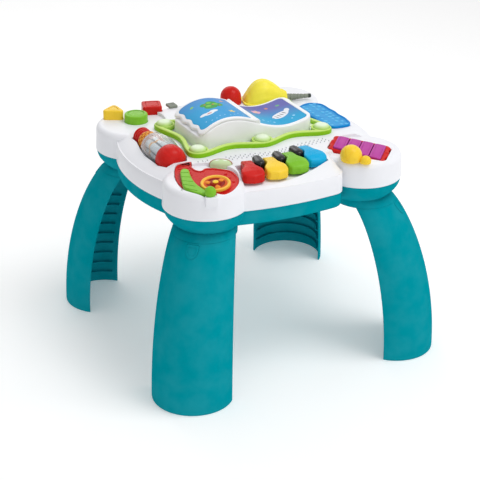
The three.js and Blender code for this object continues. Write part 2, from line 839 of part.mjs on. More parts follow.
// Keyboard: four coloured keys hinged at the back, three fixed black keys between them
const keyArcX = -38;
const keyArcRadius = 206;
const keyFrontY = -159;
const keyFirstX = -68;
const keyPitch = 36;
const keyPlaces = [
  { name: 'key_red', heading: -13, finish: finishes.red },
  { name: 'key_yellow', heading: -9, finish: finishes.yellow },
  { name: 'key_green', heading: -4, finish: finishes.green },
  { name: 'key_blue', heading: 2, finish: finishes.blue },
].map((place, index) => ({ ...place, x: keyFirstX + index * keyPitch }));
const keyFrontHalf = 15.5;
const keyBackHalf = 8;
const keyLength = 48;
const keyFlareFromShare = 0.34;
const keyFlareToShare = 0.58;
const keyNose = 3.5;
const keyCrownShare = 0.6;
const keySlopeShare = 0.2;
const keySoft = 2;
const keyPocketDepth = 11;
const keyTravel = 3.4;
const keyFloor = deckTop - keyPocketDepth;
const keyUnder = keyFloor + keyTravel + gap;
const keyLedgeRise = 3.5;
const keyLedge = keyFloor + keyLedgeRise;
const keyRiseBack = 6;
const keyRiseMiddle = 9;
const keyRiseFront = 4.5;
const keyTopBack = deckTop + keyRiseBack;
const keyTopMiddle = deckTop + keyRiseMiddle;
const keyTopFront = deckTop + keyRiseFront;
const keyPinRadius = 1.2;
const keyPinHeight = keyLedge - keyPinRadius - gap / 2;
const keyHubHalf = 6;
const keyHubDepth = 5;
const keyPinHalf = 8.5;
const blackHalfWidth = 7;
const blackLength = 27;
const blackAlong = 42;
const blackRise = 10;

function keyPoint(place) {
  const drop = keyArcRadius - Math.sqrt(keyArcRadius ** 2 - (place.x - keyArcX) ** 2);
  return { x: place.x, y: keyFrontY + drop, angle: place.heading * turn };
}

// Moves a shape drawn with its front edge at the origin and its back along +Y to a key's place
function atKey(geometry, place) {
  const { x, y, angle } = keyPoint(place);
  return geometry.rotateZ(angle).translate(x, y, 0);
}

function keyOutline(grow) {
  const front = keyFrontHalf + grow;
  const back = keyBackHalf + grow;
  const flareFrom = keyLength * keyFlareFromShare;
  const flareTo = keyLength * keyFlareToShare;
  return [
    new THREE.Vector2(-front + keyNose, -grow + keyNose / 3),
    new THREE.Vector2(0, -grow - keyNose / 2),
    new THREE.Vector2(front - keyNose, -grow + keyNose / 3),
    new THREE.Vector2(front, keyNose + keyNose / 2),
    new THREE.Vector2(front, flareFrom),
    new THREE.Vector2((front + back) / 2, (flareFrom + flareTo) / 2),
    new THREE.Vector2(back, flareTo),
    new THREE.Vector2(back, keyLength + grow),
    new THREE.Vector2(-back, keyLength + grow),
    new THREE.Vector2(-back, flareTo),
    new THREE.Vector2(-(front + back) / 2, (flareFrom + flareTo) / 2),
    new THREE.Vector2(-front, flareFrom),
    new THREE.Vector2(-front, keyNose + keyNose / 2),
  ];
}

function sideProfile(points, half) {
  const outline = points.map(([along, height]) => new THREE.Vector2(along, height));
  return prism(outline, -half, half).rotateX(Math.PI / 2).rotateZ(Math.PI / 2);
}

function key(place) {
  const block = softPrism(keyOutline(0), keyUnder, keyTopMiddle + keySoft, keySoft, coarseSteps, 1);
  const wide = keyFrontHalf + overrun;
  const profile = sideProfile([
    [-overrun, keyUnder],
    [keyLength + overrun, keyUnder],
    [keyLength + overrun, keyTopBack],
    [keyLength * keyCrownShare, keyTopMiddle],
    [keyLength * keySlopeShare, (keyTopMiddle + keyTopFront) / 2 + keySoft / 2],
    [keyNose / 2, keyTopFront],
    [-overrun, keyTopFront - keyNose - overrun],
  ], wide);
  const hub = box(2 * keyHubHalf, keyHubDepth, keyPinHeight - keyPinRadius - 2 * gap, keyTopBack - keySoft)
    .translate(0, keyLength - keyHubDepth / 2 - gap, 0);
  return join(common(block, profile), hub, keyPinShape(keyPinRadius, keyPinHalf));
}

function keyPinShape(radius, half) {
  const geometry = new THREE.CylinderGeometry(radius, radius, 2 * half, coarseSteps);
  return geometry.rotateZ(Math.PI / 2).translate(0, keyLength - keyHubDepth / 2 - gap, keyPinHeight);
}

function placedSolid(solid, place) {
  const mesh = solid.getMesh();
  const geometry = new THREE.BufferGeometry();
  geometry.setAttribute('position', new THREE.BufferAttribute(mesh.vertProperties, 3));
  geometry.setIndex(new THREE.BufferAttribute(mesh.triVerts, 1));
  return atKey(geometry, place);
}

function between(first, second) {
  return { x: (first.x + second.x) / 2, heading: (first.heading + second.heading) / 2 };
}

const blackPlaces = keyPlaces.slice(1).map((place, k) => between(keyPlaces[k], place));

function pocketBox(width, from, to, floor, place) {
  const solid = box(width, to - from, floor, deckTop + overrun).translate(0, (from + to) / 2, 0);
  return atKey(solid, place);
}

function keyPocket(grow) {
  const ledgeFrom = keyLength - keyHubDepth - 2 * gap;
  const back = keyLength + slip + grow;
  const width = 2 * (keyFrontHalf + slip + grow);
  const front = -keyNose / 2 - 2 * slip - grow;
  const cuts = [];
  for (const place of keyPlaces) {
    cuts.push(pocketBox(width, front, ledgeFrom + grow, keyFloor - grow, place));
    cuts.push(pocketBox(width, front, back, keyLedge - grow, place));
    cuts.push(pocketBox(2 * (keyHubHalf + slip + grow), front, back, keyFloor - grow, place));
  }
  for (const place of blackPlaces) {
    const across = 2 * (blackHalfWidth + slip + grow);
    const blackBack = blackAlong + blackLength / 2 + slip + grow;
    cuts.push(pocketBox(across, front + keyNose / 2, ledgeFrom + grow, keyFloor - grow, place));
    cuts.push(pocketBox(across, front + keyNose / 2, blackBack, keyLedge - grow, place));
  }
  return join(...cuts);
}

function keyPinGroove(place) {
  const across = 2 * (keyPinHalf + gap);
  const groove = box(across, 2 * (keyPinRadius + gap), keyPinHeight - keyPinRadius - gap, deckTop);
  return atKey(groove.translate(0, keyLength - keyHubDepth / 2 - gap, 0), place);
}

function blackKey(place) {
  const outline = roundedPoints(blackHalfWidth, blackLength / 2, blackHalfWidth - gap, fewSteps);
  const solid = softPrism(outline, keyLedge + gap, deckTop + blackRise, keySoft, coarseSteps, 1);
  return atKey(solid.translate(0, blackAlong, 0), place);
}

for (const place of keyPlaces) {
  addPiece(place.name, placedSolid(key(place), place), place.finish);
}
for (const [k, place] of blackPlaces.entries()) {
  addPiece(`black_key_${k + 1}`, blackKey(place), finishes.black);
}

// Guitar on the front left lobe: a plate, a spinning disc, a strum lever and a domed window
const plateThickness = 4;
const plateSoft = 1;
const plateBottom = lobeTop + gap;
const plateTop = plateBottom + plateThickness;
const guitarSteps = 26;
const guitarShares = [
  [0.05, 0.87], [-0.13, 0.89], [-0.31, 0.87], [-0.56, 0.44], [-0.64, 0.02], [-0.58, -0.29],
  [-0.39, -0.6], [-0.17, -0.82], [0, -0.92], [0.24, -0.87], [0.47, -0.69], [0.65, -0.42],
  [0.7, -0.17], [0.66, 0.05], [0.51, 0.21], [0.34, 0.36], [0.2, 0.42], [0.08, 0.37], [0, 0.44],
  [-0.03, 0.64],
];
const spinnerShare = [0.07, -0.4];
const spinnerRadius = 20.5;
const spinnerThickness = 4;
const spinnerRim = 3.2;
const spinnerDish = 1.6;
const spinnerHub = 7;
const pivotRadius = 1.6;
const pivotRoot = 2.4;
const pivotHead = 4;
const pivotHeadHeight = 1.6;
const leverShares = [
  [-0.22, 0.44], [-0.3, 0.52], [-0.38, 0.49], [-0.57, 0.05], [-0.65, -0.25], [-0.6, -0.47],
  [-0.48, -0.68], [-0.36, -0.79], [-0.27, -0.74], [-0.3, -0.57], [-0.34, -0.32], [-0.33, -0.06],
  [-0.28, 0.2],
];
const leverBallShare = [-0.27, -0.82];
const leverBallRadius = 8;
const leverBallRise = 11.5;
const leverBallHeight = lobeTop + leverBallRise;
const leverThickness = 5;
const leverSteps = 18;
const leverSoft = 1.4;
const leverSwing = 8 * turn;
const windowShare = [0.64, 0.47];
const windowHalfX = 16;
const windowHalfY = 9.5;
const windowRise = 10.5;
const windowShares = [[1, 0], [1, 0.4], [0.88, 0.72], [0.58, 0.93]];
const windowTurn = -27 * turn;
const guitarHighShare = [-0.13, 0.89];
const guitarFacing = -135;
const guitarAngle = 7;
const leanRoom = 16;

function outlineOn(corner, shares, steps) {
  return smoothOutline(shares.map((share) => onLobe(corner, share)), steps);
}

function ball(radius, steps = midSteps) {
  return new THREE.SphereGeometry(radius, steps, steps / 2).rotateX(Math.PI / 2);
}

function above(shape, height) {
  const reach = 2 * deckTop;
  return common(shape, box(reach, reach, height, reach));
}

function placeAt(geometry, point, height = 0) {
  return geometry.translate(point.x, point.y, height);
}

const spinnerAt = onLobe(frontLeft, spinnerShare);
const leverBallAt = onLobe(frontLeft, leverBallShare);
const windowAt = onLobe(frontLeft, windowShare);

// The guitar leans outwards from the end of its neck
function guitarLean(shape) {
  const { x, y } = onLobe(frontLeft, guitarHighShare);
  return leaned(shape, { x, y, height: plateTop, facing: guitarFacing, angle: guitarAngle });
}

function guitarPlate() {
  const outline = outlineOn(frontLeft, guitarShares, guitarSteps);
  const plate = softPrism(outline, plateBottom, plateTop, plateSoft, coarseSteps, 1);
  const clear = placeAt(rod(leverBallRadius + slip, lobeTop, deckTop + overrun, midSteps), leverBallAt);
  const hole = placeAt(rod(pivotRadius + gap, lobeTop, deckTop), spinnerAt);
  return cut(plate, clear, hole);
}

function spinnerDisc() {
  const bottom = plateTop + gap;
  const bore = pivotRadius + gap;
  const top = bottom + spinnerThickness;
  return placeAt(turned([
    [bore, bottom],
    [spinnerRadius, bottom],
    [spinnerRadius, top],
    [spinnerRadius - spinnerRim, top],
    [spinnerRadius - spinnerRim - spinnerDish, top - spinnerDish],
    [spinnerHub + spinnerDish, top - spinnerDish],
    [spinnerHub, top],
    [bore, top],
    [bore, bottom],
  ], ringSteps), spinnerAt);
}

function pivot(headHeight, length) {
  return turned([
    [0, headHeight - length],
    [pivotRadius, headHeight - length],
    [pivotRadius, headHeight],
    [pivotHead, headHeight],
    [pivotHead, headHeight + pivotHeadHeight / 2],
    [0, headHeight + pivotHeadHeight],
  ], coarseSteps);
}

function strumLever() {
  const bottom = plateTop + gap;
  const outline = outlineOn(frontLeft, leverShares, leverSteps);
  const pad = softPrism(outline, bottom, bottom + leverThickness, leverSoft, coarseSteps, 1);
  const knob = placeAt(ball(leverBallRadius), leverBallAt, leverBallHeight);
  const stub = placeAt(rod(pivotRadius, lobeTop - pivotRoot, leverBallHeight), leverBallAt);
  return join(pad, knob, stub);
}

// Room under and round the lever for its whole swing
function leverRoom(grow) {
  const outline = grown(outlineOn(frontLeft, leverShares, leverSteps), slip + grow);
  const swung = outline.map((point) => point.clone().rotateAround(leverBallAt, leverSwing));
  const [from, to] = [leverBallHeight - leverBallRadius - gap - grow, deckTop + leanRoom];
  const round = placeAt(rod(leverBallRadius + slip + grow, from, to, coarseSteps), leverBallAt);
  return guitarLean(join(prism(outline, from, to), prism(swung, from, to), round).hull());
}

function dome(halfX, halfY, bottom, top) {
  const side = windowShares.map(([out, up]) => [out, bottom + up * (top - bottom)]);
  return turned([[0, bottom], ...side, [0, top]]).scale(halfX, halfY, 1);
}

function windowPocket(grow) {
  const outline = rod(1, lobeTop - grow, deckTop + overrun, midSteps)
    .scale(windowHalfX + gap + grow, windowHalfY + gap + grow, 1);
  return placeAt(outline.rotateZ(windowTurn), windowAt);
}

// Xylophone on the front right lobe: a frame, four bars that press, and a mallet in a slot
const xyloShare = [-0.12, -0.11];
const xyloTurn = -44 * turn;
const xyloHalfX = 43.2;
const xyloHalfY = 24;
const xyloSpread = 4.5;
const xyloRound = 9;
const xyloRise = 10.5;
const xyloWallX = 8;
const xyloWallY = 4;
const xyloFacing = -90;
const xyloAngle = 8;
const barCount = 4;
const barGap = 0.8;
const barProud = 3;
const barTravel = 2.5;
const barSoft = 1;
const barRound = 3;
const barSteps = 2;
const xyloFloorRise = 4.6;
const xyloFloor = lobeTop + xyloFloorRise;
const xyloTop = lobeTop + xyloRise;
const barPitch = (2 * (xyloHalfX - xyloWallX) + barGap) / barCount;
const malletShare = [-0.634, -0.561];
const malletTurn = -52 * turn;
const malletRadius = 15.5;
const malletTipRadius = 8;
const malletSpan = 21.5;
const malletBack = 4;
const malletForward = 8;
const malletBallRise = 7.5;
const malletBallHeight = lobeTop + malletBallRise;
const malletTipRise = 3;
const malletTipHeight = lobeTop + malletTipRise;
const malletSteps = 13;
const stemRadius = 2.1;
const stemInward = 4;
const stemFlange = 3.8;
const stemFlangeDrop = 7;
const stemFlangeTop = lobeTop - stemFlangeDrop;
const stemFlangeThickness = 2.2;
const xyloAt = onLobe(frontRight, xyloShare);
const malletAt = onLobe(frontRight, malletShare);

function atXylo(geometry) {
  return placeAt(geometry.rotateZ(xyloTurn), xyloAt);
}

// The xylophone leans forwards from its far corner
function xyloLean(shape) {
  const far = new THREE.Vector2(-xyloHalfX, xyloHalfY).rotateAround(new THREE.Vector2(), xyloTurn);
  const { x, y } = far.add(xyloAt);
  return leaned(shape, { x, y, height: xyloTop, facing: xyloFacing, angle: xyloAngle });
}

// Outline of a stretch of the xylophone with rounded corners, whose near edge slants outwards
function xyloOutline(from, to, inset, round, steps) {
  const slope = Math.atan(xyloSpread / xyloHalfX);
  const near = (along) => inset - xyloHalfY - xyloSpread * along / xyloHalfX + round / Math.cos(slope);
  const far = xyloHalfY - inset - round;
  const [low, high] = [from + round, to - round];
  const down = 3 * Math.PI / 2 - slope;
  return [
    ...arc(low, near(low), round, Math.PI, down, steps),
    ...arc(high, near(high), round, down, 2 * Math.PI, steps),
    ...arc(high, far, round, 0, Math.PI / 2, steps),
    ...arc(low, far, round, Math.PI / 2, Math.PI, steps),
  ];
}

function xyloFrame() {
  const bottom = lobeTop + gap;
  const outline = xyloOutline(-xyloHalfX, xyloHalfX, 0, xyloRound, coarseSteps / 2);
  const body = softPrism(outline, bottom, xyloTop, plateSoft, coarseSteps, 1);
  const wellHalf = xyloHalfX - xyloWallX;
  const wellOutline = xyloOutline(-wellHalf, wellHalf, xyloWallY, barRound, barSteps);
  const well = prism(wellOutline, xyloFloor, xyloTop + overrun);
  return cut(atXylo(body), atXylo(well));
}

function xyloBar(index) {
  const along = (index - (barCount - 1) / 2) * barPitch;
  const half = (barPitch - barGap) / 2 - gap / 2;
  const bottom = xyloFloor + barTravel + gap;
  const outline = xyloOutline(along - half, along + half, xyloWallY + slip, barRound, barSteps);
  return atXylo(softPrism(outline, bottom, xyloTop + barProud, barSoft, coarseSteps, 1));
}

function atMallet(geometry) {
  return placeAt(geometry.rotateZ(malletTurn), malletAt);
}

function mallet() {
  const bottom = lobeTop + slip;
  const big = ball(malletRadius, malletSteps).translate(0, 0, malletBallHeight);
  const tip = ball(malletTipRadius, midSteps).translate(malletSpan, 0, malletTipHeight);
  const stem = rod(stemRadius, stemFlangeTop, malletBallHeight).translate(0, stemInward, 0);
  const flange = rod(stemFlange, stemFlangeTop - stemFlangeThickness, stemFlangeTop)
    .translate(0, stemInward, 0);
  return join(above(join(atMallet(big), atMallet(tip)), bottom), atMallet(stem), atMallet(flange));
}

function malletSlot() {
  const half = stemRadius + gap;
  const from = -malletBack - half;
  const to = malletForward + half;
  const slot = box(to - from, 2 * half, stemFlangeTop, deckTop);
  return atMallet(slot.translate((from + to) / 2, stemInward, 0));
}

// Roller on the left: head, clear barrel with a core, bead ring and cap on one axle
const rollerX = -139.5;
const rollerDrop = 2.5;
const rollerHeight = deckTop - rollerDrop;
const rollerClear = 1.5;
const troughFront = -61;
const rollerGap = 0.3;
const headLength = 27.5;
const headRadius = 21;
const headShares = [[0, 0.42], [0.12, 0.68], [0.3, 0.88], [0.55, 0.99], [0.8, 1], [1, 0.96]];
const barrelLength = 49.5;
const barrelEndRadius = 20;
const barrelBulge = 3.5;
const barrelWall = 2;
const barrelShares = [0, 0.3, 0.7, 1];
const coreRadius = 14;
const beadLength = 22;
const beadRadius = 18;
const beadEndRadius = 15;
const capLength = 21.5;
const capRadius = 13.5;
const capGrooves = 3;
const grooveDepth = 1.2;
const axleRadius = 1.8;
const axleRoot = 2;
const headFrom = troughFront + slip;
const barrelFrom = headFrom + headLength;
const beadFrom = barrelFrom + barrelLength;
const capFrom = beadFrom + beadLength;
const troughBack = capFrom + capLength + slip;

function rollerTurned(profile, steps = ringSteps) {
  return turned(profile, steps).rotateX(-Math.PI / 2).translate(rollerX, 0, rollerHeight);
}

function rollerSleeve(radius, from, to, bore = axleRadius + gap) {
  return rollerTurned([[bore, from], [radius, from], [radius, to], [bore, to], [bore, from]]);
}

function rollerHead() {
  const bore = axleRadius + gap;
  const length = headLength - rollerGap;
  const profile = [[bore, headFrom]];
  for (const [along, out] of headShares) {
    profile.push([out * headRadius, headFrom + along * length]);
  }
  profile.push([bore, headFrom + length], [bore, headFrom]);
  return rollerTurned(profile);
}

function rollerCap() {
  const bore = axleRadius + gap;
  const from = capFrom;
  const profile = [[bore, from], [capRadius, from]];
  const pitch = capLength / (capGrooves + 1);
  for (let k = 1; k <= capGrooves; k += 1) {
    const middle = from + k * pitch;
    profile.push([capRadius, middle - grooveDepth]);
    profile.push([capRadius - grooveDepth, middle]);
    profile.push([capRadius, middle + grooveDepth]);
  }
  profile.push([capRadius, from + capLength - 2 * grooveDepth]);
  profile.push([capRadius - 2 * grooveDepth, from + capLength]);
  profile.push([bore, from + capLength], [bore, from]);
  return rollerTurned(profile, midSteps);
}

// Outside of the clear barrel, drawn in by a drop, from its front end to its back end
function barrelSide(drop) {
  return barrelShares.map((share) => [
    barrelEndRadius - drop + barrelBulge * Math.sin(Math.PI * share),
    barrelFrom + share * (barrelLength - rollerGap),
  ]);
}

function rollerBarrel() {
  const inside = barrelSide(barrelWall).reverse();
  return rollerTurned([...barrelSide(0), ...inside, barrelSide(0)[0]]);
}

function beadRing() {
  const bore = axleRadius + gap;
  const to = capFrom - rollerGap;
  const start = [bore, beadFrom];
  return rollerTurned([start, [beadRadius, beadFrom], [beadEndRadius, to], [bore, to], start]);
}

// Trough for the roller, which follows its outside at a clearance
function trough(grow) {
  const around = rollerClear + grow;
  const profile = [
    [0, troughFront - grow],
    [headShares[1][1] * headRadius + around, troughFront - grow],
    [headRadius + around, headFrom + headLength / 2],
    [barrelEndRadius + barrelBulge + around, barrelFrom + barrelLength / 2],
    [barrelEndRadius + around, beadFrom],
    [capRadius + rollerClear + around, capFrom],
    [capRadius + around, troughBack + grow],
    [0, troughBack + grow],
  ];
  return rollerTurned(profile, midSteps);
}

// Buttons and mode switch on the back left lobe
const buttonTravel = 3;
const buttonWellDepth = 9;
const buttonFloor = lobeTop - buttonWellDepth;
const buttonUnder = buttonFloor + buttonTravel + gap;
const buttonSoft = 1.6;
const buttonRise = 12.5;
const circleShare = [0.068, 0.085];
const circleRadius = 17.3;
const triangleShare = [-0.347, 0.56];
const triangleRadius = 16.5;
const triangleRound = 5;
const triangleTurn = -27 * turn;
const triangleRise = 14.5;
const squareShare = [0.695, 0.525];
const squareHalf = 14.5;
const squareRound = 3;
const squareRise = 13;
const squareTurn = -18 * turn;
const switchX = -52;
const switchFromEnd = 30;
const switchHalfX = 7;
const switchHalfY = 8;
const switchRise = 3.5;
const switchRound = 2;
const switchSoft = 1;
const switchTravel = 3;
const switchStem = 2;
const switchDrop = 11;

function triangleOutline(grow) {
  const reach = triangleRadius - triangleRound;
  const points = [];
  for (let k = 0; k < 3; k += 1) {
    const facing = Math.PI / 2 + triangleTurn + k * 2 * Math.PI / 3;
    points.push(...arc(
      reach * Math.cos(facing),
      reach * Math.sin(facing),
      triangleRound + grow,
      facing - Math.PI / 3,
      facing + Math.PI / 3,
      4,
    ));
  }
  return points;
}

function squareOutline(grow) {
  const points = roundedPoints(squareHalf + grow, squareHalf + grow, squareRound + grow, fewSteps);
  return points.map((point) => point.rotateAround(new THREE.Vector2(), squareTurn));
}

const circleOutline = (grow) => arc(0, 0, circleRadius + grow, 0, 2 * Math.PI, ringSteps).slice(0, -1);

const buttons = [
  {
    name: 'button_circle',
    outline: circleOutline,
    share: circleShare,
    rise: buttonRise,
    finish: finishes.green,
  },
  {
    name: 'button_triangle',
    outline: triangleOutline,
    share: triangleShare,
    rise: triangleRise,
    finish: finishes.yellow,
  },
  {
    name: 'button_square',
    outline: squareOutline,
    share: squareShare,
    rise: squareRise,
    finish: finishes.red,
  },
];

function button({ outline, share, rise }) {
  const solid = softPrism(outline(0), buttonUnder, lobeTop + rise, buttonSoft, coarseSteps, 2);
  return placeAt(solid, onLobe(backLeft, share));
}

function buttonWell({ outline, share }, grow) {
  const solid = prism(outline(gap + grow), buttonFloor - grow, deckTop + overrun);
  return placeAt(solid, onLobe(backLeft, share));
}

const switchAt = new THREE.Vector2(switchX, endReach - switchFromEnd);

function modeSwitch() {
  const bottom = deckTop + gap;
  const outline = roundedPoints(switchHalfX, switchHalfY, switchRound);
  const knob = softPrism(outline, bottom, bottom + switchRise, switchSoft, coarseSteps, 1);
  const under = deckTop - switchDrop;
  const stem = box(2 * switchStem, 2 * switchStem, under, bottom + switchSoft);
  const flange = box(4 * switchStem, 4 * switchStem, under - wall / 2, under);
  return join(placeAt(knob, switchAt), placeAt(stem, switchAt), placeAt(flange, switchAt));
}

function switchSlot() {
  const across = 2 * (switchStem + switchTravel + gap);
  const slot = box(across, 2 * (switchStem + gap), deckTop - switchDrop, deckTop + overrun);
  return placeAt(slot, switchAt);
}

// Bubble panel on the right: a slab with a scalloped outline
const panelX = 136;
const panelY = 6.5;
const panelHalfX = 21;
const panelHalfY = 54;
const panelRound = 18;
const panelDepth = 3.5;
const panelRise = 3;
const panelWave = 1.4;
const panelWaves = 9;

function panelOutline(grow) {
  const loop = smoothOutline(roundedPoints(panelHalfX, panelHalfY, panelRound, fewSteps), 4 * panelWaves);
  const waved = loop.map((point, k) => {
    const out = panelWave * (Math.cos(2 * Math.PI * k / 4) - 1) / 2;
    const away = point.clone().normalize();
    return new THREE.Vector2(point.x + away.x * out, point.y + away.y * out);
  });
  return shifted(grown(waved, grow), panelX, panelY);
}

// Horn at the back: a domed body on the back right lobe, its tip, and a bulb that presses
const hornX = 54.5;
const hornY = 113.5;
const hornTurn = -13 * turn;
const hornLength = 68;
const hornHalfWidth = 25;
const hornRise = 39;
const hornRingSteps = 9;
const hornShares = [
  [0, 0.5, 0.2], [0.05, 0.7, 0.4], [0.14, 0.86, 0.66], [0.28, 0.97, 0.92], [0.42, 1, 1],
  [0.56, 0.95, 0.96], [0.72, 0.78, 0.8], [0.87, 0.58, 0.58], [1, 0.46, 0.44],
];
const tipLength = 40;
const tipRadius = 6;
const tipEndRadius = 2.6;
const tipRise = 6.8;
const tipHeight = lobeTop + tipRise;
const bulbX = 36.5;
const bulbY = 120;
const bulbRadius = 16;
const bulbRise = 10;
const bulbHeight = deckTop + bulbRise;
const bulbTravel = 4;
const bulbWellDepth = 9;
const bulbFloor = deckTop - bulbWellDepth;

function atHorn(geometry) {
  return geometry.rotateZ(hornTurn).translate(hornX, hornY, 0);
}

function hornOutline(grow) {
  const upper = hornShares.map(([along, wide]) => new THREE.Vector2(
    along * hornLength + (along - 0.5) * 2 * grow,
    wide * hornHalfWidth + grow,
  ));
  const lower = upper.map((point) => new THREE.Vector2(point.x, -point.y));
  return [...lower, ...upper.reverse()];
}

function hornBody() {
  const rings = hornShares.map(([along, wide, high]) => {
    const ring = arc(0, 0, 1, 0, Math.PI, hornRingSteps);
    return ring.map((point) => new THREE.Vector3(
      point.x * wide * hornHalfWidth,
      point.y * high * hornRise,
      along * hornLength,
    ));
  });
  const solid = loft(rings).rotateX(Math.PI / 2).rotateZ(Math.PI / 2);
  return atHorn(solid.translate(0, 0, lobeTop + gap));
}

function hornTip() {
  const from = hornLength + gap;
  const geometry = new THREE.CylinderGeometry(tipEndRadius, tipRadius, tipLength, ringSteps);
  const placed = geometry.rotateZ(-Math.PI / 2).translate(from + tipLength / 2, 0, tipHeight);
  return atHorn(placed);
}

function bulb() {
  const under = bulbFloor + bulbTravel + gap;
  const upper = above(ball(bulbRadius, ringSteps).translate(bulbX, bulbY, bulbHeight), under);
  const skirt = rod(bulbRadius, under, bulbHeight, ringSteps).translate(bulbX, bulbY, 0);
  return join(upper, skirt);
}

function bulbWell(grow, steps) {
  return rod(bulbRadius + slip + grow, bulbFloor - grow, deckTop + overrun, steps).translate(bulbX, bulbY, 0);
}

// Electronics and batteries inside
const boardHalfX = 55;
const boardHalfY = 27;
const boardY = -56;
const boardThickness = 1.6;
const boardPostRadius = 3;
const boardDrop = 15;
const boardTop = deckTop - boardDrop;
const boardPostX = 48;
const boardPostY = 22;
const chipHalf = 7;
const chipHeight = 1.6;
const cellNub = 1;
const cellNubRadius = 2.7;

function board() {
  const plate = box(2 * boardHalfX, 2 * boardHalfY, boardTop - boardThickness, boardTop)
    .translate(0, boardY, 0);
  const chips = [-2, 0, 2].map((place) => (
    box(2 * chipHalf, 2 * chipHalf, boardTop - boardThickness - chipHeight, boardTop - boardThickness / 2)
      .translate(place * chipHalf, boardY, 0)
  ));
  return join(plate, ...chips);
}

function cellAt(index) {
  return (index - (batteryCount - 1) / 2) * batteryPitch;
}

const cellHeight = trayBottom + doorThickness + batteryRadius + 2 * gap;

function cell(index) {
  const body = alongY(batteryRadius, -batteryLength / 2, batteryLength / 2 - cellNub, 0, 0, midSteps);
  const nub = alongY(cellNubRadius, -batteryLength / 2, batteryLength / 2, 0, 0);
  const facing = index % 2 === 0 ? 0 : Math.PI;
  return join(...[body, nub].map((geometry) => (
    geometry.rotateZ(facing).translate(cellAt(index), batteryBoxY, cellHeight)
  )));
}

function contacts() {
  const half = bayLength / 2 - gap - contactThickness / 2;
  const stripFrom = cellHeight + batteryRadius + gap;
  const stripTo = stripFrom + contactThickness;
  const strip = box(cellNubRadius, 2 * half, stripFrom, stripTo).translate(batteryPitch / 2, batteryBoxY, 0);
  return join(strip, ...[-1, 1].map((side) => (
    box(bayWidth - 2 * gap, contactThickness, cellHeight - batteryRadius / 2, stripTo)
      .translate(0, batteryBoxY + side * half, 0)
  )));
}

function batteryDoor() {
  const plate = box(doorWidth, doorLength, trayBottom, trayBottom + doorThickness).translate(0, doorY, 0);
  const hole = rod(screwHole, trayBottom - overrun, trayBottom + doorThickness + overrun)
    .translate(0, doorScrewY, 0);
  return cut(plate, hole);
}

function speaker() {
  const from = trayBottom + wall + gap;
  return turned([
    [0, from],
    [speakerRadius, from],
    [speakerRadius, from + speakerHeight / 3],
    [speakerRadius / 2, from + speakerHeight / 2],
    [speakerRadius / 2, from + speakerHeight],
    [0, from + speakerHeight],
  ], ringSteps).translate(speakerX, speakerY, 0);
}

// Deck shell: pockets for every toy, walled underneath, and posts for the screws and the board
function pockets(grow, steps) {
  const around = slip + grow;
  const guitar = grown(outlineOn(frontLeft, guitarShares, guitarSteps), around);
  const xyloHalf = xyloHalfX + around;
  const xylo = xyloOutline(-xyloHalf, xyloHalf, -around, xyloRound + around, fewSteps);
  const bed = () => rod(bedRadius + grow, lobeTop - grow, deckTop + overrun, steps);
  return join(
    ...corners.map((corner) => atLobe(bed(), corner)),
    keyPocket(grow),
    guitarLean(prism(guitar, lobeTop - grow, deckTop + leanRoom)),
    leverRoom(grow),
    windowPocket(grow),
    xyloLean(atXylo(prism(xylo, lobeTop - grow, deckTop + leanRoom))),
    trough(grow),
    ...buttons.map((item) => buttonWell(item, grow)),
    prism(panelOutline(slip + grow), deckTop - panelDepth - grow, deckTop + overrun),
    atHorn(prism(hornOutline(slip + grow), lobeTop - grow, deckTop + overrun)),
    bulbWell(grow, steps),
  );
}

function pinBores() {
  const root = lobeTop - pivotRoot;
  return [
    guitarLean(placeAt(rod(pivotRadius + gap, root - gap, deckTop), spinnerAt)),
    guitarLean(placeAt(rod(pivotRadius + gap, root - gap, deckTop), leverBallAt)),
    alongY(
      axleRadius + gap,
      troughFront - axleRoot - gap,
      troughBack + axleRoot + gap,
      rollerX,
      rollerHeight,
    ),
  ];
}

function topHousing() {
  const ceiling = deckTop - wall / 2;
  const posts = [];
  const bores = [];
  for (const { x, y } of corners) {
    posts.push(rod(postRadius, postSplit, ceiling).translate(x * postX, y * postY, 0));
    bores.push(rod(screwHole, postSplit - overrun, postSplit + screwLength - screwSink + gap)
      .translate(x * postX, y * postY, 0));
    posts.push(rod(boardPostRadius, boardTop + gap, ceiling)
      .translate(x * boardPostX, boardY + y * boardPostY, 0));
  }
  const cavity = cut(deckInner(), pockets(wall, midSteps), ...posts);
  return cut(
    cut(deckOuter(), cavity),
    pockets(0, fineSteps),
    ...keyPlaces.map(keyPinGroove),
    ...pinBores(),
    ...bores,
    malletSlot(),
    switchSlot(),
  );
}

addPiece('base_tray', tray(), finishes.teal);
for (const corner of corners) {
  addPiece(`leg_${corner.name}`, leg(corner), finishes.teal);
}
for (const corner of corners) {
  addPiece(`leg_latch_${corner.name}`, latch(corner), finishes.teal);
}
addPiece('top_housing', topHousing(), finishes.white);
addPiece('guitar_plate', guitarLean(guitarPlate()), finishes.red);
addPiece('spinner_disc', guitarLean(spinnerDisc()), finishes.orange);
addPiece('spinner_pin', guitarLean(placeAt(
  pivot(plateTop + 2 * gap + spinnerThickness, plateThickness + spinnerThickness + pivotRoot + 2 * gap),
  spinnerAt,
)), finishes.yellow);
addPiece('strum_lever', guitarLean(strumLever()), finishes.green);
addPiece('guitar_window', placeAt(
  dome(windowHalfX, windowHalfY, lobeTop + gap, lobeTop + windowRise).rotateZ(windowTurn),
  windowAt,
), finishes.lens);
addPiece('xylophone_frame', xyloLean(xyloFrame()), finishes.red);
for (let k = 0; k < barCount; k += 1) {
  addPiece(`xylophone_bar_${k + 1}`, xyloLean(xyloBar(k)), finishes.magenta);
}
addPiece('mallet_slider', mallet(), finishes.yellow);
addPiece('roller_head', rollerHead(), finishes.red);
addPiece('roller_barrel', rollerBarrel(), finishes.clear);
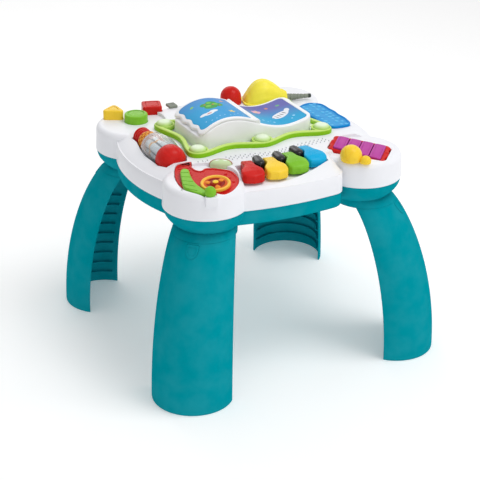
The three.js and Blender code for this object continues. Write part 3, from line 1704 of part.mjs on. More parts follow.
addPiece('roller_core', rollerSleeve(coreRadius, barrelFrom, beadFrom - rollerGap), finishes.blue);
addPiece('roller_bead_ring', beadRing(), finishes.orange);
addPiece('roller_cap', rollerCap(), finishes.red);
addPiece('roller_axle', alongY(
  axleRadius, troughFront - axleRoot, troughBack + axleRoot, rollerX, rollerHeight,
), finishes.steel);
for (const item of buttons) {
  addPiece(item.name, button(item), item.finish);
}
addPiece('mode_switch', modeSwitch(), finishes.grey);
addPiece('bubble_panel', softPrism(
  panelOutline(0), deckTop - panelDepth + gap, deckTop + panelRise, plateSoft, coarseSteps, 1,
), finishes.blue);
addPiece('horn', hornBody(), finishes.yellow);
addPiece('horn_tip', hornTip(), finishes.grey);
addPiece('horn_bulb', bulb(), finishes.red);
addPiece('circuit_board', board(), finishes.board);
addPiece('speaker', speaker(), finishes.darkPlastic);
for (let k = 0; k < batteryCount; k += 1) {
  addPiece(`battery_${k + 1}`, cell(k), finishes.darkPlastic);
}
addPiece('battery_contacts', contacts(), finishes.steel);
addPiece('battery_door', batteryDoor(), finishes.teal);
addPiece('battery_door_screw', screw(
  0, doorScrewY, trayBottom - screwHeadHeight - gap, bayFloor - gap,
), finishes.steel);
for (const { name, x, y } of corners) {
  const piece = screw(x * postX, y * postY, postSplit - screwSink, screwLength);
  addPiece(`housing_screw_${name}`, piece, finishes.steel);
}

export default table;
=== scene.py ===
# Baby activity table: the visible pieces and their materials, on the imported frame.
# Lengths below are millimetres; objects are made in metres.
import math
import bpy
import numpy as np
from mathutils import Matrix, Vector


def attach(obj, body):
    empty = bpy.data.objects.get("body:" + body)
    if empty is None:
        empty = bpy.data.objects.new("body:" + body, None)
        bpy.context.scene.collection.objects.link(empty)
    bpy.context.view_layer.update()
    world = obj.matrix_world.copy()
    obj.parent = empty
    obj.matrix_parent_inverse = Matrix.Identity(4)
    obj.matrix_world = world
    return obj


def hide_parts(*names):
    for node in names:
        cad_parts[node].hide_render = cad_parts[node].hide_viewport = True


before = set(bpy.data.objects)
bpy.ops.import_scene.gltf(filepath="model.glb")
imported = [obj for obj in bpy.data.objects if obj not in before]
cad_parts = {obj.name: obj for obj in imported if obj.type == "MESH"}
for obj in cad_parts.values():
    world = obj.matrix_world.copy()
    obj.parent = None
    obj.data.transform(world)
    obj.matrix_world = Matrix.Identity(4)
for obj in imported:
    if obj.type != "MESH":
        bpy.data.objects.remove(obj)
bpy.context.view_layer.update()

MM = 0.001
TURN = math.pi / 180
QUARTER = math.pi / 2


# Outlines
def arc(x, y, r, a0, a1, steps):
    a = np.linspace(a0, a1, steps + 1)
    return np.column_stack([x + r * np.cos(a), y + r * np.sin(a)])


def circle(x, y, r, steps=96):
    return arc(x, y, r, 0, 2 * math.pi, steps)[:-1]


def rounded(hx, hy, r, steps=10):
    x, y = hx - r, hy - r
    return np.vstack([
        arc(x, y, r, 0, QUARTER, steps), arc(-x, y, r, QUARTER, math.pi, steps),
        arc(-x, -y, r, math.pi, 3 * QUARTER, steps), arc(x, -y, r, 3 * QUARTER, 2 * math.pi, steps)])


def resampled(points, spacing):
    loop = np.vstack([points, points[:1]])
    lengths = np.concatenate([[0], np.cumsum(np.hypot(*np.diff(loop, axis=0).T))])
    n = max(12, int(round(lengths[-1] / spacing)))
    at = np.arange(n) * lengths[-1] / n
    return np.column_stack([np.interp(at, lengths, loop[:, k]) for k in (0, 1)])


def smooth(points, per=10):
    """Closed Catmull-Rom curve through the points, centripetal as in the solids' source."""
    pts = np.asarray(points, float)
    n = len(pts)
    out = []
    for i in range(n):
        p0, p1, p2, p3 = (pts[(i + k - 1) % n] for k in range(4))
        d = [max(np.linalg.norm(b - a) ** 0.5, 1e-6) for a, b in ((p0, p1), (p1, p2), (p2, p3))]
        t1 = (p1 - p0) / d[0] - (p2 - p0) / (d[0] + d[1]) + (p2 - p1) / d[1]
        t2 = (p2 - p1) / d[1] - (p3 - p1) / (d[1] + d[2]) + (p3 - p2) / d[2]
        t1, t2 = t1 * d[1], t2 * d[1]
        for k in range(per):
            t = k / per
            out.append((2 * t**3 - 3 * t**2 + 1) * p1 + (t**3 - 2 * t**2 + t) * t1
                       + (-2 * t**3 + 3 * t**2) * p2 + (t**3 - t**2) * t2)
    return np.array(out)


def grown(points, amount):
    if abs(amount) < 1e-9:
        return points
    tangent = np.roll(points, -1, 0) - np.roll(points, 1, 0)
    length = np.maximum(np.hypot(*tangent.T), 1e-9)
    normal = np.column_stack([tangent[:, 1], -tangent[:, 0]]) / length[:, None]
    return points + normal * amount


def turned_points(points, angle, x=0, y=0):
    c, s = math.cos(angle), math.sin(angle)
    return points @ np.array([[c, s], [-s, c]]) + np.array([x, y])


# Meshes
def make(name, verts, faces):
    mesh = bpy.data.meshes.new(name)
    mesh.from_pydata([tuple(v) for v in np.asarray(verts) * MM], [], faces)
    mesh.update()
    obj = bpy.data.objects.new(name, mesh)
    bpy.context.scene.collection.objects.link(obj)
    return obj


def raised(outline, z):
    z = np.broadcast_to(z, (len(outline),))
    return np.column_stack([outline, z])


def loft(name, rings, closed=False):
    n = len(rings[0])
    verts = np.vstack(rings)
    faces = []
    levels = len(rings)
    for level in range(levels if closed else levels - 1):
        a0, b0 = level * n, ((level + 1) % levels) * n
        for k in range(n):
            j = (k + 1) % n
            faces.append((a0 + k, a0 + j, b0 + j, b0 + k))
    if not closed:
        faces.append(tuple(range(n))[::-1])
        faces.append(tuple(range((levels - 1) * n, levels * n)))
    return make(name, verts, faces)


def prism(name, outline, z0, z1):
    return loft(name, [raised(outline, z0), raised(outline, z1)])


def hull(points):
    """The points on the outer edge of a set, counter-clockwise."""
    rows = sorted(map(tuple, points))
    edge = []
    for run in (rows, rows[::-1]):
        side = []
        for p in run:
            while len(side) > 1 and (side[-1][0] - side[-2][0]) * (p[1] - side[-2][1]) \
                    <= (side[-1][1] - side[-2][1]) * (p[0] - side[-2][0]):
                side.pop()
            side.append(p)
        edge += side[:-1]
    return np.array(edge)


def cutter(outline, z0, z1, lip=0.8, name="cut"):
    """A prism whose mouth flares at height z1, so that the hole it leaves has a rounded rim."""
    rings = [raised(outline, z0)]
    for k in range(5):
        a = QUARTER * k / 4
        rings.append(raised(grown(outline, lip * (1 - math.cos(a))), z1 - lip + lip * math.sin(a)))
    rings.append(raised(grown(outline, lip * 1.6), z1 + 0.05))
    rings.append(raised(grown(outline, lip * 1.6), z1 + 30))
    return loft(name, rings)


def turned(name, profile, steps=96, shape=None):
    """A closed form turned about Z from (radius, height) pairs, from the axis to the axis or as a ring."""
    shape = shape or (lambda r, z, t: r)
    a = np.linspace(0, 2 * math.pi, steps, endpoint=False)
    ring = profile[0][0] > 1e-6
    rows = profile if ring else profile[1:-1]
    verts, faces = [], []
    for r, z in rows:
        verts += [(shape(r, z, t) * math.cos(t), shape(r, z, t) * math.sin(t), z) for t in a]
    m = len(rows)
    for i in range(m if ring else m - 1):
        for k in range(steps):
            j = (k + 1) % steps
            p, q = i * steps, ((i + 1) % m) * steps
            faces.append((p + k, p + j, q + j, q + k))
    if not ring:
        verts += [(0, 0, profile[0][1]), (0, 0, profile[-1][1])]
        low, high = m * steps, m * steps + 1
        for k in range(steps):
            j = (k + 1) % steps
            faces.append((low, j, k))
            faces.append((high, (m - 1) * steps + k, (m - 1) * steps + j))
    return make(name, verts, faces)


def rod(r, z0, z1, x=0, y=0, steps=48, name="rod"):
    return moved(turned(name, [(0, z0), (r, z0), (r, z1), (0, z1)], steps), x, y, 0)


def sphere(name, r, steps=64):
    angles = np.linspace(-1.5, 1.5, steps // 2 + 8)
    return turned(name, [(0, -r)] + [(r * math.cos(a), r * math.sin(a)) for a in angles] + [(0, r)], steps)


def moved(obj, x=0, y=0, z=0):
    obj.data.transform(Matrix.Translation(Vector((x, y, z)) * MM))
    return obj


def spun(obj, angle, axis="Z"):
    obj.data.transform(Matrix.Rotation(angle, 4, axis))
    return obj


def soft_profile(radius, z0, z1, r_top, r_low=0.4, steps=6):
    rows = [(0, z0)]
    for k in range(steps + 1):
        a = QUARTER * k / steps
        rows.append((radius - r_low * (1 - math.sin(a)), z0 + r_low * (1 - math.cos(a))))
    for k in range(steps + 1):
        a = QUARTER * k / steps
        rows.append((radius - r_top * (1 - math.cos(a)), z1 - r_top + r_top * math.sin(a)))
    rows.append((0, z1))
    return rows


def pillow(name, outline, top, bottom, r_top=1.2, r_low=0.4, rings=10, steps=6, centre=None):
    """A closed body over an outline whose top and bottom follow functions of (x, y), with rounded rims."""
    outline = np.asarray(outline, float)
    c = outline.mean(0) if centre is None else np.array(centre, float)
    call = lambda f, p: np.broadcast_to(f(p[:, 0], p[:, 1]) if callable(f) else f, (len(p),))
    layers = []
    shares = np.linspace(0.04, 1, rings)[:-1]
    edge = grown(outline, -r_low)
    for s in shares:
        p = c + (edge - c) * s
        layers.append(raised(p, call(bottom, p)))
    for k in range(steps + 1):
        a = QUARTER * k / steps
        p = grown(outline, -r_low * (1 - math.sin(a)))
        layers.append(raised(p, call(bottom, p) + r_low * (1 - math.cos(a))))
    for k in range(steps + 1):
        a = QUARTER * k / steps
        p = grown(outline, -r_top * (1 - math.cos(a)))
        layers.append(raised(p, call(top, p) - r_top + r_top * math.sin(a)))
    edge = grown(outline, -r_top)
    for s in shares[::-1]:
        p = c + (edge - c) * s
        layers.append(raised(p, call(top, p)))
    return loft(name, layers)


def bake(obj):
    graph = bpy.context.evaluated_depsgraph_get()
    mesh = bpy.data.meshes.new_from_object(obj.evaluated_get(graph))
    obj.modifiers.clear()
    old = obj.data
    obj.data = mesh
    mesh.name = old.name
    bpy.data.meshes.remove(old)
    return obj


def boolean(obj, tools, operation="DIFFERENCE"):
    for tool in tools:
        step = obj.modifiers.new("step", "BOOLEAN")
        step.operation = operation
        step.solver = "MANIFOLD"
        step.object = tool
    bake(obj)
    for tool in tools:
        mesh = tool.data
        bpy.data.objects.remove(tool)
        bpy.data.meshes.remove(mesh)
    return obj


def shade(obj, angle=32):
    mesh = obj.data
    mesh.shade_smooth()
    if angle:
        mesh.set_sharp_from_angle(angle=angle * TURN)
    return obj


# Materials
GRAIN_SIZE = 1.1


def rgb(*values):
    """A display colour from 0 to 255 as the linear colour that the shaders take."""
    shares = [v / 255 for v in values]
    return tuple(c / 12.92 if c <= 0.04045 else ((c + 0.055) / 1.055) ** 2.4 for c in shares)


def node(tree, kind, **values):
    n = tree.nodes.new(kind)
    for key, value in values.items():
        setattr(n, key, value)
    return n


def plastic(name, colour, rough=0.28, vary=0.05, grain=0.012, wear=0.25, shine=0.22, attribute=None,
            transmission=0.0):
    """Moulded plastic: slow colour drift, fine grain, paler rubbed edges and uneven gloss."""
    mat = bpy.data.materials.new(name)
    mat.use_nodes = True
    tree = mat.node_tree
    link = tree.links.new
    shader = tree.nodes["Principled BSDF"]
    where = node(tree, "ShaderNodeTexCoord")
    drift = node(tree, "ShaderNodeTexNoise")
    drift.inputs["Scale"].default_value = 38
    drift.inputs["Detail"].default_value = 3
    link(where.outputs["Object"], drift.inputs["Vector"])
    ramp = node(tree, "ShaderNodeValToRGB")
    ramp.color_ramp.elements[0].position = 0.35
    ramp.color_ramp.elements[1].position = 0.68
    dark = tuple(c * (1 - vary) for c in colour)
    pale = tuple(min(1, c * (1 + 0.5 * vary) + 0.01) for c in colour)
    ramp.color_ramp.elements[0].color = (*dark, 1)
    ramp.color_ramp.elements[1].color = (*pale, 1)
    link(drift.outputs["Fac"], ramp.inputs["Fac"])
    base = ramp.outputs["Color"]
    if attribute:
        paint = node(tree, "ShaderNodeAttribute", attribute_name=attribute)
        tint = node(tree, "ShaderNodeMix", data_type="RGBA", blend_type="MULTIPLY")
        tint.inputs["Factor"].default_value = 1
        shadeless = node(tree, "ShaderNodeValToRGB")
        shadeless.color_ramp.elements[0].color = (1 - vary, 1 - vary, 1 - vary, 1)
        shadeless.color_ramp.elements[1].color = (1, 1, 1, 1)
        link(drift.outputs["Fac"], shadeless.inputs["Fac"])
        link(paint.outputs["Color"], tint.inputs["A"])
        link(shadeless.outputs["Color"], tint.inputs["B"])
        base = tint.outputs["Result"]
    if wear:
        shape = node(tree, "ShaderNodeNewGeometry")
        edge = node(tree, "ShaderNodeMapRange")
        edge.inputs["From Min"].default_value = 0.52
        edge.inputs["From Max"].default_value = 0.62
        edge.inputs["To Max"].default_value = wear
        link(shape.outputs["Pointiness"], edge.inputs["Value"])
        rub = node(tree, "ShaderNodeMix", data_type="RGBA", blend_type="MIX")
        rub.inputs["B"].default_value = (*[min(1, c * 1.25 + 0.05) for c in colour], 1)
        link(edge.outputs["Result"], rub.inputs["Factor"])
        link(base, rub.inputs["A"])
        base = rub.outputs["Result"]
    link(base, shader.inputs["Base Color"])
    smear = node(tree, "ShaderNodeTexNoise")
    smear.inputs["Scale"].default_value = 120
    smear.inputs["Detail"].default_value = 5
    link(where.outputs["Object"], smear.inputs["Vector"])
    gloss = node(tree, "ShaderNodeMapRange")
    gloss.inputs["To Min"].default_value = rough - 0.07
    gloss.inputs["To Max"].default_value = rough + 0.09
    link(smear.outputs["Fac"], gloss.inputs["Value"])
    link(gloss.outputs["Result"], shader.inputs["Roughness"])
    fine = node(tree, "ShaderNodeTexNoise")
    fine.inputs["Scale"].default_value = 1 / (GRAIN_SIZE * MM)
    fine.inputs["Detail"].default_value = 2
    link(where.outputs["Object"], fine.inputs["Vector"])
    bump = node(tree, "ShaderNodeBump")
    bump.inputs["Strength"].default_value = 0.35
    bump.inputs["Distance"].default_value = grain * MM
    link(fine.outputs["Fac"], bump.inputs["Height"])
    link(bump.outputs["Normal"], shader.inputs["Normal"])
    shader.inputs["IOR"].default_value = 1.5
    shader.inputs["Specular IOR Level"].default_value = shine
    if transmission:
        shader.inputs["Transmission Weight"].default_value = transmission
    return mat


def metal(name, colour, rough=0.3):
    mat = bpy.data.materials.new(name)
    mat.use_nodes = True
    tree = mat.node_tree
    shader = tree.nodes["Principled BSDF"]
    where = node(tree, "ShaderNodeTexCoord")
    brush = node(tree, "ShaderNodeTexNoise")
    brush.inputs["Scale"].default_value = 900
    tree.links.new(where.outputs["Object"], brush.inputs["Vector"])
    gloss = node(tree, "ShaderNodeMapRange")
    gloss.inputs["To Min"].default_value = rough - 0.1
    gloss.inputs["To Max"].default_value = rough + 0.12
    tree.links.new(brush.outputs["Fac"], gloss.inputs["Value"])
    tree.links.new(gloss.outputs["Result"], shader.inputs["Roughness"])
    tone = node(tree, "ShaderNodeValToRGB")
    tone.color_ramp.elements[0].color = (*[c * 0.8 for c in colour], 1)
    tone.color_ramp.elements[1].color = (*colour, 1)
    tree.links.new(brush.outputs["Fac"], tone.inputs["Fac"])
    tree.links.new(tone.outputs["Color"], shader.inputs["Base Color"])
    shader.inputs["Metallic"].default_value = 1
    return mat


# The book's white is a little paler than the deck's shell: painted light for the book's brighter lit front.
white = plastic("white_abs_lit_paler", rgb(246, 247, 249), rough=0.34, vary=0.02, wear=0)
shell = plastic("white_shell", rgb(242, 243, 248), rough=0.34, vary=0.02, wear=0, attribute="print")
teal = plastic("teal_abs", rgb(0, 150, 164), rough=0.46, vary=0.02, grain=0.02, wear=0.03, shine=0.0)
red = plastic("red_gloss", rgb(208, 30, 24), rough=0.26, vary=0.06, shine=0.1)
yellow = plastic("yellow_gloss", rgb(250, 210, 56), rough=0.26, vary=0.05, shine=0.16)
lemon = plastic("lemon_gloss", rgb(254, 236, 76), rough=0.26, vary=0.05, shine=0.16)
green = plastic("green_gloss", rgb(130, 196, 50), rough=0.26, vary=0.06, shine=0.1)
blue = plastic("blue_gloss", rgb(6, 174, 226), rough=0.26, vary=0.05, shine=0.12)
black = plastic("black_gloss", rgb(8, 8, 10), rough=0.14, vary=0.1, shine=0.3, wear=0.05)
magenta = plastic("magenta_satin", rgb(186, 62, 160), rough=0.36, vary=0.05)
grey = plastic("grey_satin", rgb(136, 142, 130), rough=0.4, vary=0.05)
board_green = plastic("board_green", rgb(30, 104, 58), rough=0.45)
dark = plastic("dark_sleeve", rgb(40, 42, 46), rough=0.5)
clear = plastic("clear_shell", rgb(244, 248, 250), rough=0.1, vary=0.03, wear=0, transmission=0.96,
                shine=0.5)
steel = metal("plated_steel", rgb(190, 192, 196))
# Material for colours stored per point: print, and painted light such as the lit top of the light frame, the
# lens glow, and painted shade and reflection on the roller.
print_and_light_mat = plastic("printed_label_and_painted_light", rgb(255, 255, 255), rough=0.3, vary=0.04, wear=0, attribute="print",
                    shine=0.06)


def dress(obj, mat):
    obj.data.materials.clear()
    obj.data.materials.append(mat)
    return obj


def piece(obj, body, slot, mat, *nodes, angle=32):
    shade(obj, angle)
    dress(obj, mat)
    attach(obj, body)
    if nodes:
        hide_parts(*nodes)
    return obj


# Sizes shared with the solids
LEG_SEAM, NECK, SKIRT, TOP, LOBE_TOP = 231.0, 240.0, 266.4, 308.0, 303.5
LOBE_X, LOBE_Y, LOBE_R, BED_R = 124.0, 118.0, 59.0, 45.0
SIDE_REACH, SIDE_BOW, END_REACH, END_BOW = 174.0, 18.0, 184.5, 30.0
KEY_PANEL_END, KEY_PANEL_ROUND = 71.0, 20.0
RIM_DROP, RIM_CURVE = 14.5, 1.36
WALL, GAP, SLIP = 3.0, 0.3, 0.6
ROOM, NEAR = WALL + SLIP, WALL + GAP
HIGH = 330.0
SCREW_X, SCREW_Y, SCREW_R = 98.0, 66.0, 1.55
BOOK_Y, HINGE = 10.0, 337.0
CORNERS = {"front_left": (-1, -1), "front_right": (1, -1), "back_left": (-1, 1), "back_right": (1, 1)}


def bow(reach, rise, half, facing, inset, a0=None, steps=36):
    """A bowed side of the deck, from its half width at one end to the other or to the angle a0."""
    radius = (half**2 + rise**2) / (2 * rise)
    centre = radius - reach
    end = math.asin(half / radius)
    a = np.linspace(end, -end if a0 is None else a0, steps + 1)
    across, out = (radius - inset) * np.sin(a), (radius - inset) * np.cos(a) - centre
    c, s = math.cos(facing), math.sin(facing)
    return np.column_stack([across * c - out * s, across * s + out * c])


def deck_outline(inset):
    """The deck's outline, whose front bow ends in a round corner at the right of the keys."""
    radius = (LOBE_X**2 + SIDE_BOW**2) / (2 * SIDE_BOW)
    centre = radius - SIDE_REACH
    end_x = KEY_PANEL_END - 0.25 * inset
    rx = end_x - KEY_PANEL_ROUND
    ry = centre - math.sqrt((radius - inset - KEY_PANEL_ROUND) ** 2 - rx**2)
    touch = math.atan2(ry - centre, rx)
    return np.vstack([
        bow(SIDE_REACH, SIDE_BOW, LOBE_X, math.pi, inset, -(QUARTER + touch)),
        arc(rx, ry, KEY_PANEL_ROUND, touch, 0, 12)[1:],
        [[end_x, -LOBE_Y]],
        bow(END_REACH, END_BOW, LOBE_Y, -QUARTER, inset),
        bow(SIDE_REACH, SIDE_BOW, LOBE_X, 0, inset),
        bow(END_REACH, END_BOW, LOBE_Y, QUARTER, inset)])


def on_lobe(corner, across, along):
    sx, sy = CORNERS[corner]
    return np.array([sx * LOBE_X + across * LOBE_R, sy * LOBE_Y + along * LOBE_R])


def lobe_rods(radius, z0, z1, steps=96):
    """A round bar at the middle of every lobe."""
    return [rod(radius, z0, z1, sx * LOBE_X, sy * LOBE_Y, steps) for sx, sy in CORNERS.values()]


def lobe_disc(name, corner, profile):
    sx, sy = CORNERS[corner]
    return moved(turned(name, profile, 112), sx * LOBE_X, sy * LOBE_Y)


# Painting
def painted(obj, colours):
    """Stores a colour for every point, worked out from its place in millimetres."""
    mesh = obj.data
    at = np.empty(len(mesh.vertices) * 3)
    mesh.vertices.foreach_get("co", at)
    at = at.reshape(-1, 3) / MM
    tints = np.ones((len(at), 4))
    tints[:, :3] = colours(*at.T)
    # the colours stored here hold print and, on some parts, painted light
    layer = mesh.color_attributes.new("print", "FLOAT_COLOR", "POINT")
    layer.data.foreach_set("color", tints.astype(np.float32).ravel())
    return obj


def flat(x, *values):
    """One display colour for every point."""
    return np.array(rgb(*values)) * np.ones((len(x), 3))


def lay(base, mask, colour):
    """Lays a colour over the base where the mask is 1, and partly where it is less."""
    share = np.clip(mask, 0, 1)[:, None]
    return base * (1 - share) + np.array(colour) * share


def blob(x, y, cx, cy, rx, ry, turn=0.0, soft=0.6):
    """Mask of a soft-edged oval."""
    c, s = math.cos(turn * TURN), math.sin(turn * TURN)
    u, v = (x - cx) * c + (y - cy) * s, -(x - cx) * s + (y - cy) * c
    return (1 - np.hypot(u / rx, v / ry)) * min(rx, ry) / soft


def spots(base, x, y, places, colour, squash=1.0, soft=0.6):
    """Lays an oval of one colour at each (x, y, radius)."""
    for cx, cy, r in places:
        base = lay(base, blob(x, y, cx, cy, r, r * squash, soft=soft), colour)
    return base


def star(x, y, cx, cy, r, points=5, soft=0.6):
    """Mask of a soft-edged star."""
    a, d = np.arctan2(y - cy, x - cx), np.hypot(x - cx, y - cy)
    return (r * (0.72 + 0.28 * np.cos(points * a)) - d) / soft


# Deck
def fascia_rings():
    """The deck's outline from its skirt up to the step, and over the sloping rim to the top."""
    step = TOP - RIM_DROP
    levels = [(0, SKIRT), (0.5, SKIRT + 12), (1.1, step - 0.7), (1.5, step - 0.1), (2.2, step), (3.2, step)]
    rings = [raised(deck_outline(inset), z) for inset, z in levels]
    for share in np.linspace(0.02, 1, 16):
        rings.append(raised(deck_outline(3.2 + 29.8 * share), TOP - RIM_DROP * (1 - share) ** RIM_CURVE))
    return rings


GUITAR = [(0.05, 0.87), (-0.13, 0.89), (-0.31, 0.87), (-0.56, 0.44), (-0.64, 0.02), (-0.58, -0.29),
          (-0.39, -0.6), (-0.17, -0.82), (0, -0.92), (0.24, -0.87), (0.47, -0.69), (0.65, -0.42),
          (0.7, -0.17), (0.66, 0.05), (0.51, 0.21), (0.34, 0.36), (0.2, 0.42), (0.08, 0.37), (0, 0.44),
          (-0.03, 0.64)]
LEVER = [(-0.22, 0.44), (-0.3, 0.52), (-0.38, 0.49), (-0.57, 0.05), (-0.65, -0.25), (-0.6, -0.47),
         (-0.48, -0.68), (-0.36, -0.79), (-0.27, -0.74), (-0.3, -0.57), (-0.34, -0.32), (-0.33, -0.06),
         (-0.28, 0.2)]
SPINNER = on_lobe("front_left", 0.07, -0.4)
LEVER_BALL = on_lobe("front_left", -0.27, -0.82)
WINDOW, WINDOW_TURN, WINDOW_HALF = on_lobe("front_left", 0.64, 0.47), -27 * TURN, (16.0, 9.5)
guitar_outline = smooth([on_lobe("front_left", a, b) for a, b in GUITAR], 12)
lever_outline = smooth([on_lobe("front_left", a, b) for a, b in LEVER], 12)
LEVER_BALL_R, LEVER_SWING = 8.0, 8 * TURN
XYLO = on_lobe("front_right", -0.12, -0.11)
XYLO_HALF, XYLO_DEEP, XYLO_RISE, XYLO_ROUND = 43.2, 24.0, 10.5, 9.0
XYLO_TURN, XYLO_SPREAD = -44 * TURN, 4.5 / XYLO_HALF
MALLET = on_lobe("front_right", -0.634, -0.561)
MALLET_TURN, MALLET_STEM = -52 * TURN, 4.0


def at_xylo(obj):
    return moved(spun(obj, XYLO_TURN), *XYLO)


def leaned(obj, hinge, facing, angle):
    """Tips an object down towards a heading in degrees, about a level line through a fixed point."""
    place = Matrix.Translation(Vector(hinge) * MM)
    heading = Matrix.Rotation(facing * TURN, 4, "Z")
    tip = Matrix.Rotation(angle * TURN, 4, "Y")
    obj.data.transform(place @ heading @ tip @ heading.inverted() @ place.inverted())
    return obj


def guitar_lean(obj):
    return leaned(obj, (*on_lobe("front_left", -0.13, 0.89), LOBE_TOP + 4.3), -135, 7)


def xylo_lean(obj):
    (x, y), = turned_points(np.array([(-XYLO_HALF, XYLO_DEEP)]), XYLO_TURN, *XYLO)
    return leaned(obj, (x, y, LOBE_TOP + XYLO_RISE), -90, 8)


def xylo_outline(x0, x1, inset, r, steps=8):
    """A stretch of the xylophone with rounded corners, whose near edge slants outwards."""
    slope = math.atan(XYLO_SPREAD)
    near = lambda x: inset - XYLO_DEEP - XYLO_SPREAD * x + r / math.cos(slope)
    far, down = XYLO_DEEP - inset - r, 3 * QUARTER - slope
    return np.vstack([
        arc(x0 + r, near(x0 + r), r, math.pi, down, steps),
        arc(x1 - r, near(x1 - r), r, down, 2 * math.pi, steps),
        arc(x1 - r, far, r, 0, QUARTER, steps),
        arc(x0 + r, far, r, QUARTER, math.pi, steps)])


def xylo_room(grow):
    """Form of the seat that the leaning xylophone stands in."""
    half = XYLO_HALF + grow
    outline = turned_points(xylo_outline(-half, half, -grow, XYLO_ROUND + grow), XYLO_TURN, *XYLO)
    return xylo_lean(prism("xylo_room", outline, LOBE_TOP - max(0, grow - SLIP), HIGH))


def at_mallet(obj):
    return moved(spun(obj, MALLET_TURN), *MALLET)


def lever_room(grow):
    """Form of the room under and round the strum lever, wide enough for its whole swing."""
    loop = grown(lever_outline, grow)
    swung = turned_points(loop - np.array(LEVER_BALL), LEVER_SWING, *LEVER_BALL)
    around = circle(*LEVER_BALL, LEVER_BALL_R + grow, 48)
    outline = hull(np.vstack([loop, swung, around]))
    return guitar_lean(prism("lever_room", outline, LOBE_TOP + 3.2 - grow, HIGH))


KEYS = [("key_red", -68, -13, red, "red_plastic"), ("key_yellow", -32, -9, yellow, "yellow_plastic"),
        ("key_green", 4, -4, green, "green_plastic"), ("key_blue", 40, 2, blue, "blue_plastic")]
KEY_FLOOR, KEY_UNDER, KEY_LEDGE = 297.0, 300.7, 300.5
KEY_HALF, KEY_BACK, KEY_LENGTH, KEY_NOSE = 15.5, 8.0, 48.0, 3.5
KEY_ARC_X, KEY_ARC_Y, KEY_ARC = -38.0, 47.0, 206.0


def key_place(x, heading):
    """Where a key's front edge stands on the arc of the keyboard, and its angle."""
    return x, KEY_ARC_Y - math.sqrt(KEY_ARC**2 - (x - KEY_ARC_X) ** 2), heading * TURN


def at_key(obj, x, heading):
    px, py, angle = key_place(x, heading)
    return moved(spun(obj, angle), px, py)


def key_outline(grow):
    """A key from above: a blunt nose, a wide front and a narrow back."""
    front, back = KEY_HALF + grow, KEY_BACK + grow
    nose, f0, f1 = KEY_NOSE, KEY_LENGTH * 0.34, KEY_LENGTH * 0.58
    right = [(front - nose, -grow + nose / 3), (front, nose * 1.5), (front, f0),
             ((front + back) / 2, (f0 + f1) / 2), (back, f1), (back, KEY_LENGTH + grow)]
    left = [(-x, y) for x, y in right]
    return np.array(left[:1] + [(0, -grow - nose / 2)] + right + left[:0:-1])


def block(x0, x1, y0, y1, z0, z1):
    outline = np.array([(x0, y0), (x1, y0), (x1, y1), (x0, y1)], float)
    return prism("block", outline, z0, z1)


def key_pockets():
    """One pocket with a smooth front edge for all the keys, and the seats of their pins."""
    cuts = []
    seats = []
    half, front, ledge, back = KEY_HALF + SLIP, -9.0, KEY_LENGTH - 5 - 2 * GAP, KEY_LENGTH + SLIP
    high = TOP + 9
    for _, x, heading, _, _ in KEYS:
        cuts.append(at_key(block(-half, half, front, ledge, KEY_FLOOR, high), x, heading))
        cuts.append(at_key(block(-half, half, front, back, KEY_LEDGE, high), x, heading))
        cuts.append(at_key(block(-6.6, 6.6, front, back, KEY_FLOOR, high), x, heading))
        seats.append(at_key(block(-8.8, 8.8, 43.7, 46.7, 297.65, TOP), x, heading))
    for (_, xa, ha, _, _), (_, xb, hb, _, _) in zip(KEYS, KEYS[1:]):
        x, heading = (xa + xb) / 2, (ha + hb) / 2
        cuts.append(at_key(block(-7.6, 7.6, front, ledge, KEY_FLOOR, high), x, heading))
        cuts.append(at_key(block(-7.6, 7.6, front, 56.1, KEY_LEDGE, high), x, heading))
    pocket = boolean(cuts[0], cuts[1:], "UNION")
    edge = rod(KEY_ARC + 4.4, KEY_FLOOR - 5, TOP + 12, KEY_ARC_X, KEY_ARC_Y, 720)
    boolean(pocket, [edge], "INTERSECT")
    return [pocket] + seats


ROLLER_X, ROLLER_Z = -139.5, 305.5
TROUGH = [(0, -61), (15.8, -61), (22.5, -46.6), (25, -8.1), (21.5, 16.6), (16.5, 38.6), (15, 60.7), (0, 60.7)]


def on_roller(obj):
    return moved(spun(obj, -QUARTER, "X"), ROLLER_X, 0, ROLLER_Z)


def triangle(grow=0.0, steps=14):
    points = []
    for k in range(3):
        facing = QUARTER - 27 * TURN + k * 2 * math.pi / 3
        x, y = 11.5 * math.cos(facing), 11.5 * math.sin(facing)
        points.append(arc(x, y, 5 + grow, facing - math.pi / 3, facing + math.pi / 3, steps))
    return np.vstack(points)


def square(grow=0.0):
    return turned_points(rounded(14.5 + grow, 14.5 + grow, max(3 + grow, 0.8), 8), -18 * TURN)


def disc(grow=0.0):
    return circle(0, 0, 17.3 + grow)


BUTTONS = [
    ("button_circle", disc, (0.068, 0.085), 12.5, green, "green_plastic"),
    ("button_triangle", triangle, (-0.347, 0.56), 14.5, yellow, "yellow_plastic"),
    ("button_square", square, (0.695, 0.525), 13, red, "red_plastic")]
SWITCH = (-52, 144)
PANEL_X, PANEL_Y, PANEL_WAVES = 136.0, 6.5, 9


def panel_outline(grow=0.0):
    """A rounded oblong with shallow waves all round."""
    loop = resampled(smooth(rounded(21, 54, 18, 3), 12), 1.0)
    turns = np.arange(len(loop)) / len(loop)
    out = 1.4 * (np.cos(2 * math.pi * PANEL_WAVES * turns) - 1) / 2
    away = loop / np.hypot(*loop.T)[:, None]
    return grown(loop + away * out[:, None], grow) + np.array([PANEL_X, PANEL_Y])


HORN_SHARES = [(0, 0.5, 0.2), (0.05, 0.7, 0.4), (0.14, 0.86, 0.66), (0.28, 0.97, 0.92), (0.42, 1, 1),
               (0.56, 0.95, 0.96), (0.72, 0.78, 0.8), (0.87, 0.58, 0.58), (1, 0.46, 0.44)]
HORN_TURN, HORN_AT = -13 * TURN, (54.5, 113.5)
HORN_LONG, HORN_HALF, HORN_HIGH = 68.0, 25.0, 39.0
BULB_AT, BULB_R = (36.5, 120.0), 16.0


